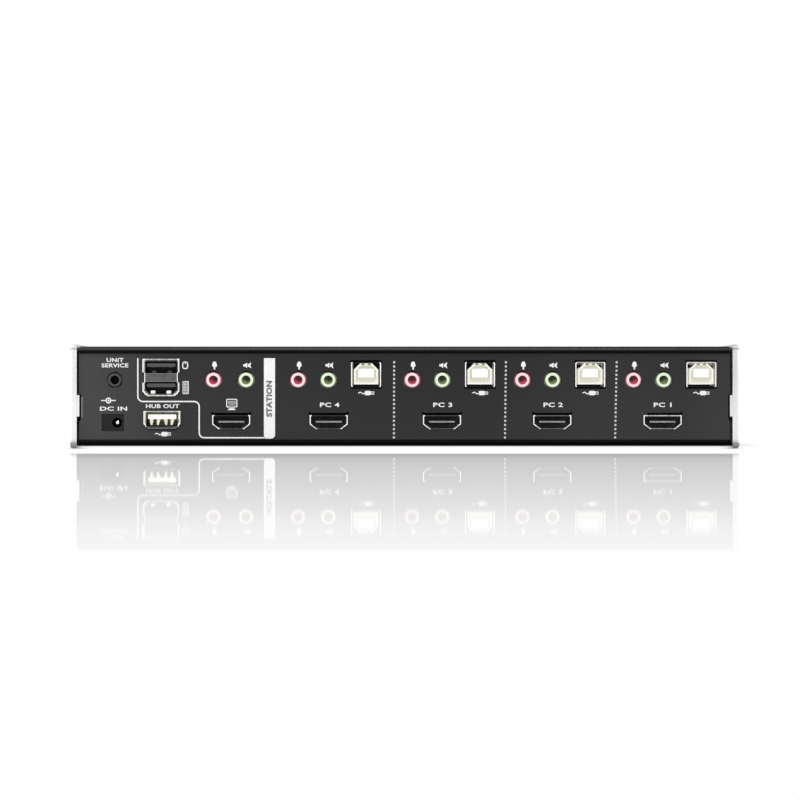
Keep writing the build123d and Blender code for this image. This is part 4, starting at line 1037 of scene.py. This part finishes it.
def usb_a_contacts(name, shell, heights, facing, material):
    """Four contacts at each height of a type A shell: the outer two reach further out."""
    low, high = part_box(shell)
    centre = middle(shell).x
    mouth = low.y if facing < 0 else high.y
    rows = []
    for z in heights:
        for offsets, reach, length in (((-3.5, 3.5), 2.0, 7.0), ((-1.0, 1.0), 3.0, 6.0)):
            y = mouth - facing * (reach + length / 2) * MM
            start = (centre + offsets[0] * MM, y, z)
            step = ((offsets[1] - offsets[0]) * MM, 0, 0)
            rows.append((2, start, step, (1.1 * MM, length * MM, 0.14 * MM)))
    return rows_piece(name, rows, material)


def grip_tabs(name, floor_z, depth, material):
    """Two bent tabs that grip a plug from below in an opening of the double socket."""
    bm = bmesh.new()
    for side in (-1, 1):
        x = stack_centre.x + side * TAB_SPREAD
        tab = rounded(x, floor_z + 0.6 * MM, 1.8 * MM, 1.15 * MM, 0.25 * MM, 3)
        plate(bm, tab, stack_low.y + depth, stack_low.y + depth + 0.25 * MM)
    return mesh_piece(name, bm, material)


def contact_wedges():
    """The four sprung contacts of the hub socket, bent down and forwards below its tongue."""
    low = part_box("hub_usb_shell")[0]
    top = low.z + 3.75 * MM
    foot = low.z + 1.5 * MM
    bm = bmesh.new()
    for n, lean in enumerate((0.15, 0.75, -0.55, 0.85)):
        x = hub.x + (n - 1.5) * HUB_PIN_PITCH
        outline = [(x - 0.75 * MM, top), (x - (0.35 + lean / 2) * MM, foot),
                   (x + (0.35 - lean / 2) * MM, foot), (x + 0.75 * MM, top)]
        plate(bm, outline, low.y + 1.5 * MM, low.y + 1.9 * MM)
    return mesh_piece("hub_contact_springs", bm, CREAM)


def divider_frame():
    """Thin bent edge of the shell round the block between the double socket's openings, in painted shade."""
    bm = bmesh.new()
    width, height = 12.3 * MM, 3.3 * MM
    inner = rounded(stack_centre.x, stack_centre.z, width - 0.5 * MM, height - 0.4 * MM, 0.25 * MM, 3)
    outer = rounded(stack_centre.x, stack_centre.z, width, height, 0.35 * MM, 3)
    band(bm, inner, outer, stack_mouth - 0.25 * MM, stack_mouth + 0.1 * MM)
    return mesh_piece("stack_divider_edge", bm, SHADED_NICKEL)


def panel_strip(name, z_low, z_high, near_depth, far_depth, material):
    """A strip as long as the connector panel, just behind its face."""
    bm = bmesh.new()
    left, right = panel_low.x + 0.4 * MM, panel_high.x - 0.4 * MM
    outline = [(left, z_low), (right, z_low), (right, z_high), (left, z_high)]
    plate(bm, outline, panel_low.y + near_depth, panel_low.y + far_depth)
    return mesh_piece(name, bm, material)


def foam_strips():
    """Black strips under each type B socket, against the back of the panel: painted shade in the slot below
    the socket.
    """
    rows = []
    for port in PORTS:
        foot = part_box("usb_b_shell_%d" % port)[0].z
        start = (usb_b[port].x, panel_low.y + SHEET + 0.35 * MM, foot - 0.4 * MM)
        rows.append((1, start, (0, 0, 0), (12.6 * MM, 0.5 * MM, 0.8 * MM)))
    return rows_piece("socket_slot_shade_strips", rows, SLOT_SHADE_BLACK)


OVERLAP = 0.02 * MM
stack_floor = stack_low.z + 1.05 * MM
stack_tongues = (divider_low - 2.18 * MM, divider_high + 2.50 * MM)
type_a_tongue = (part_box("hub_usb_shell")[0].z + USB_A_TONGUE_RISE - 0.08 * MM,)
under_cover = (panel_high.z - OVERLAP, cover_high.z - SHEET)
over_tray = (panel_low.z - TRAY_GAP, panel_low.z + OVERLAP)
for piece, slot in (
        (hdmi_contacts(), "insert_black"),
        (usb_b_contacts(), "insert_white"),
        (usb_b_windows(), "insert_white"),
        (usb_a_contacts("stack_contacts", "usb_stack_shell", stack_tongues, -1, DARK_GOLD), "insert_black"),
        (usb_a_contacts("hub_contacts", "hub_usb_shell", type_a_tongue, -1, GOLD), "insert_white"),
        (usb_a_contacts("front_usb_contacts", "front_usb_shell", type_a_tongue, 1, GOLD), "insert_white"),
        (grip_tabs("stack_grip_tabs", stack_floor, 0.5 * MM, TIN), "shell_nickel"),
        (grip_tabs("stack_upper_tabs", divider_high, 5.0 * MM, DARK_NICKEL), "shell_nickel"),
        (contact_wedges(), "insert_white"),
        (foam_strips(), "insert_black"),
        (divider_frame(), "shell_nickel"),
        (panel_strip("panel_gasket", *under_cover, 1.0 * MM, 5.0 * MM, GASKET), "panel_black"),
        (panel_strip("tray_seal", *over_tray, 0.3 * MM, 2.0 * MM, SEAL), "panel_black")):
    keep(piece)


# ---------------------------------------------------------------- floor, light and camera
def plain_floor():
    """A wide pale sheet under the box."""
    bm = bmesh.new()
    bmesh.ops.create_grid(bm, x_segments=1, y_segments=1, size=6.0)
    mesh_piece("floor", bm, light_table())


def light_table():
    """Opal sheet lit from below, polished on the near side of the box, with a painted shadow in front of
    each rail's foot.
    """
    opal = Finish("opal_light_table", roughness=0.6, Emission_Strength=1.0, Specular_IOR_Level=0.0)
    mottle = opal.noise(0.004, detail=2.0)
    far = (opal.x * opal.x + opal.y * opal.y) > 0.36
    glow = along(opal, opal.y, -1.0, 0.0, [(0.0, 1.0), (0.95, 1.0), (1.0, 0.25)]).most(far)
    # painted shadow: the glow dimmed just in front of each rail's foot
    painted_foot_shadow = near(opal.x.size(), rail_outer - 3.0 * MM, 7.0 * MM)
    painted_foot_shadow = painted_foot_shadow * near(opal.y, panel_low.y, 26.0 * MM)
    base = opal.mix(mottle * 0.1 + 0.1, grey(0.88), grey(0.92))
    polish = along(opal, opal.y, -0.9, -0.1,
                   [(0.0, 0.03), (0.10, 0.08), (0.185, 0.14), (0.26, 0.225), (0.365, 0.287), (0.51, 0.347),
                    (0.61, 0.382), (0.766, 0.437), (0.868, 0.55), (0.889, 0.55), (0.905, 0.0)])
    opal.feed(Base_Color=opal.mix(glow, base, BLACK),
              Emission_Color=opal.mix(glow * (1.0 - painted_foot_shadow * painted_foot_shadow * 0.9), BLACK, grey(1.0)))
    mirror = opal.node("ShaderNodeBsdfGlossy", {}, {"Color": (1.0, 1.0, 1.0, 1.0), "Roughness": 0.02})
    surface = Signal(opal, opal.surface.outputs[0])
    mixed = opal.node("ShaderNodeMixShader", {}, {0: polish, 1: surface, 2: mirror})
    opal.tree.links.new(mixed.socket, opal.output.inputs[0])
    return opal.material


def soft_light(name, place, target, size, power):
    """A rectangular area light that faces a target."""
    lamp = bpy.data.lights.new(name, "AREA")
    lamp.shape = "RECTANGLE"
    lamp.size, lamp.size_y = size
    lamp.energy = power
    holder = new_object(name, lamp)
    holder.location = place
    direction = Vector(target) - Vector(place)
    holder.rotation_euler = direction.to_track_quat("-Z", "Y").to_euler()


def white_room():
    """Even white light from all round."""
    world = bpy.data.worlds.new("white_room")
    world.use_nodes = True
    world.node_tree.nodes["Background"].inputs["Color"].default_value = (1.0, 1.0, 1.0, 1.0)
    world.node_tree.nodes["Background"].inputs["Strength"].default_value = 1.0
    bpy.context.scene.world = world


def studio_camera():
    """Faces the connector side square on, at about its middle height."""
    distance = 1.1
    seen_width = 0.316
    sensor = 36.0
    lens = bpy.data.cameras.new("camera")
    lens.sensor_width = sensor
    lens.lens = sensor * distance / seen_width
    lens.clip_start = 0.01
    lens.clip_end = 50.0
    camera = new_object("camera", lens)
    camera.location = (-1.84 * MM, panel_low.y - distance, 19.1 * MM)
    camera.rotation_euler = (math.radians(90), 0, 0)
    bpy.context.scene.camera = camera


plain_floor()
white_room()
soft_light("key_softbox", place=(-0.15, -1.35, 0.75), target=(0, -0.07, 0.02), size=(0.30, 0.25), power=20.0)
soft_light("left_softbox", place=(-0.9, -0.6, 0.5), target=(0, -0.05, 0.02), size=(0.5, 0.5), power=4.0)
studio_camera()
bpy.context.scene.view_settings.view_transform = "Standard"
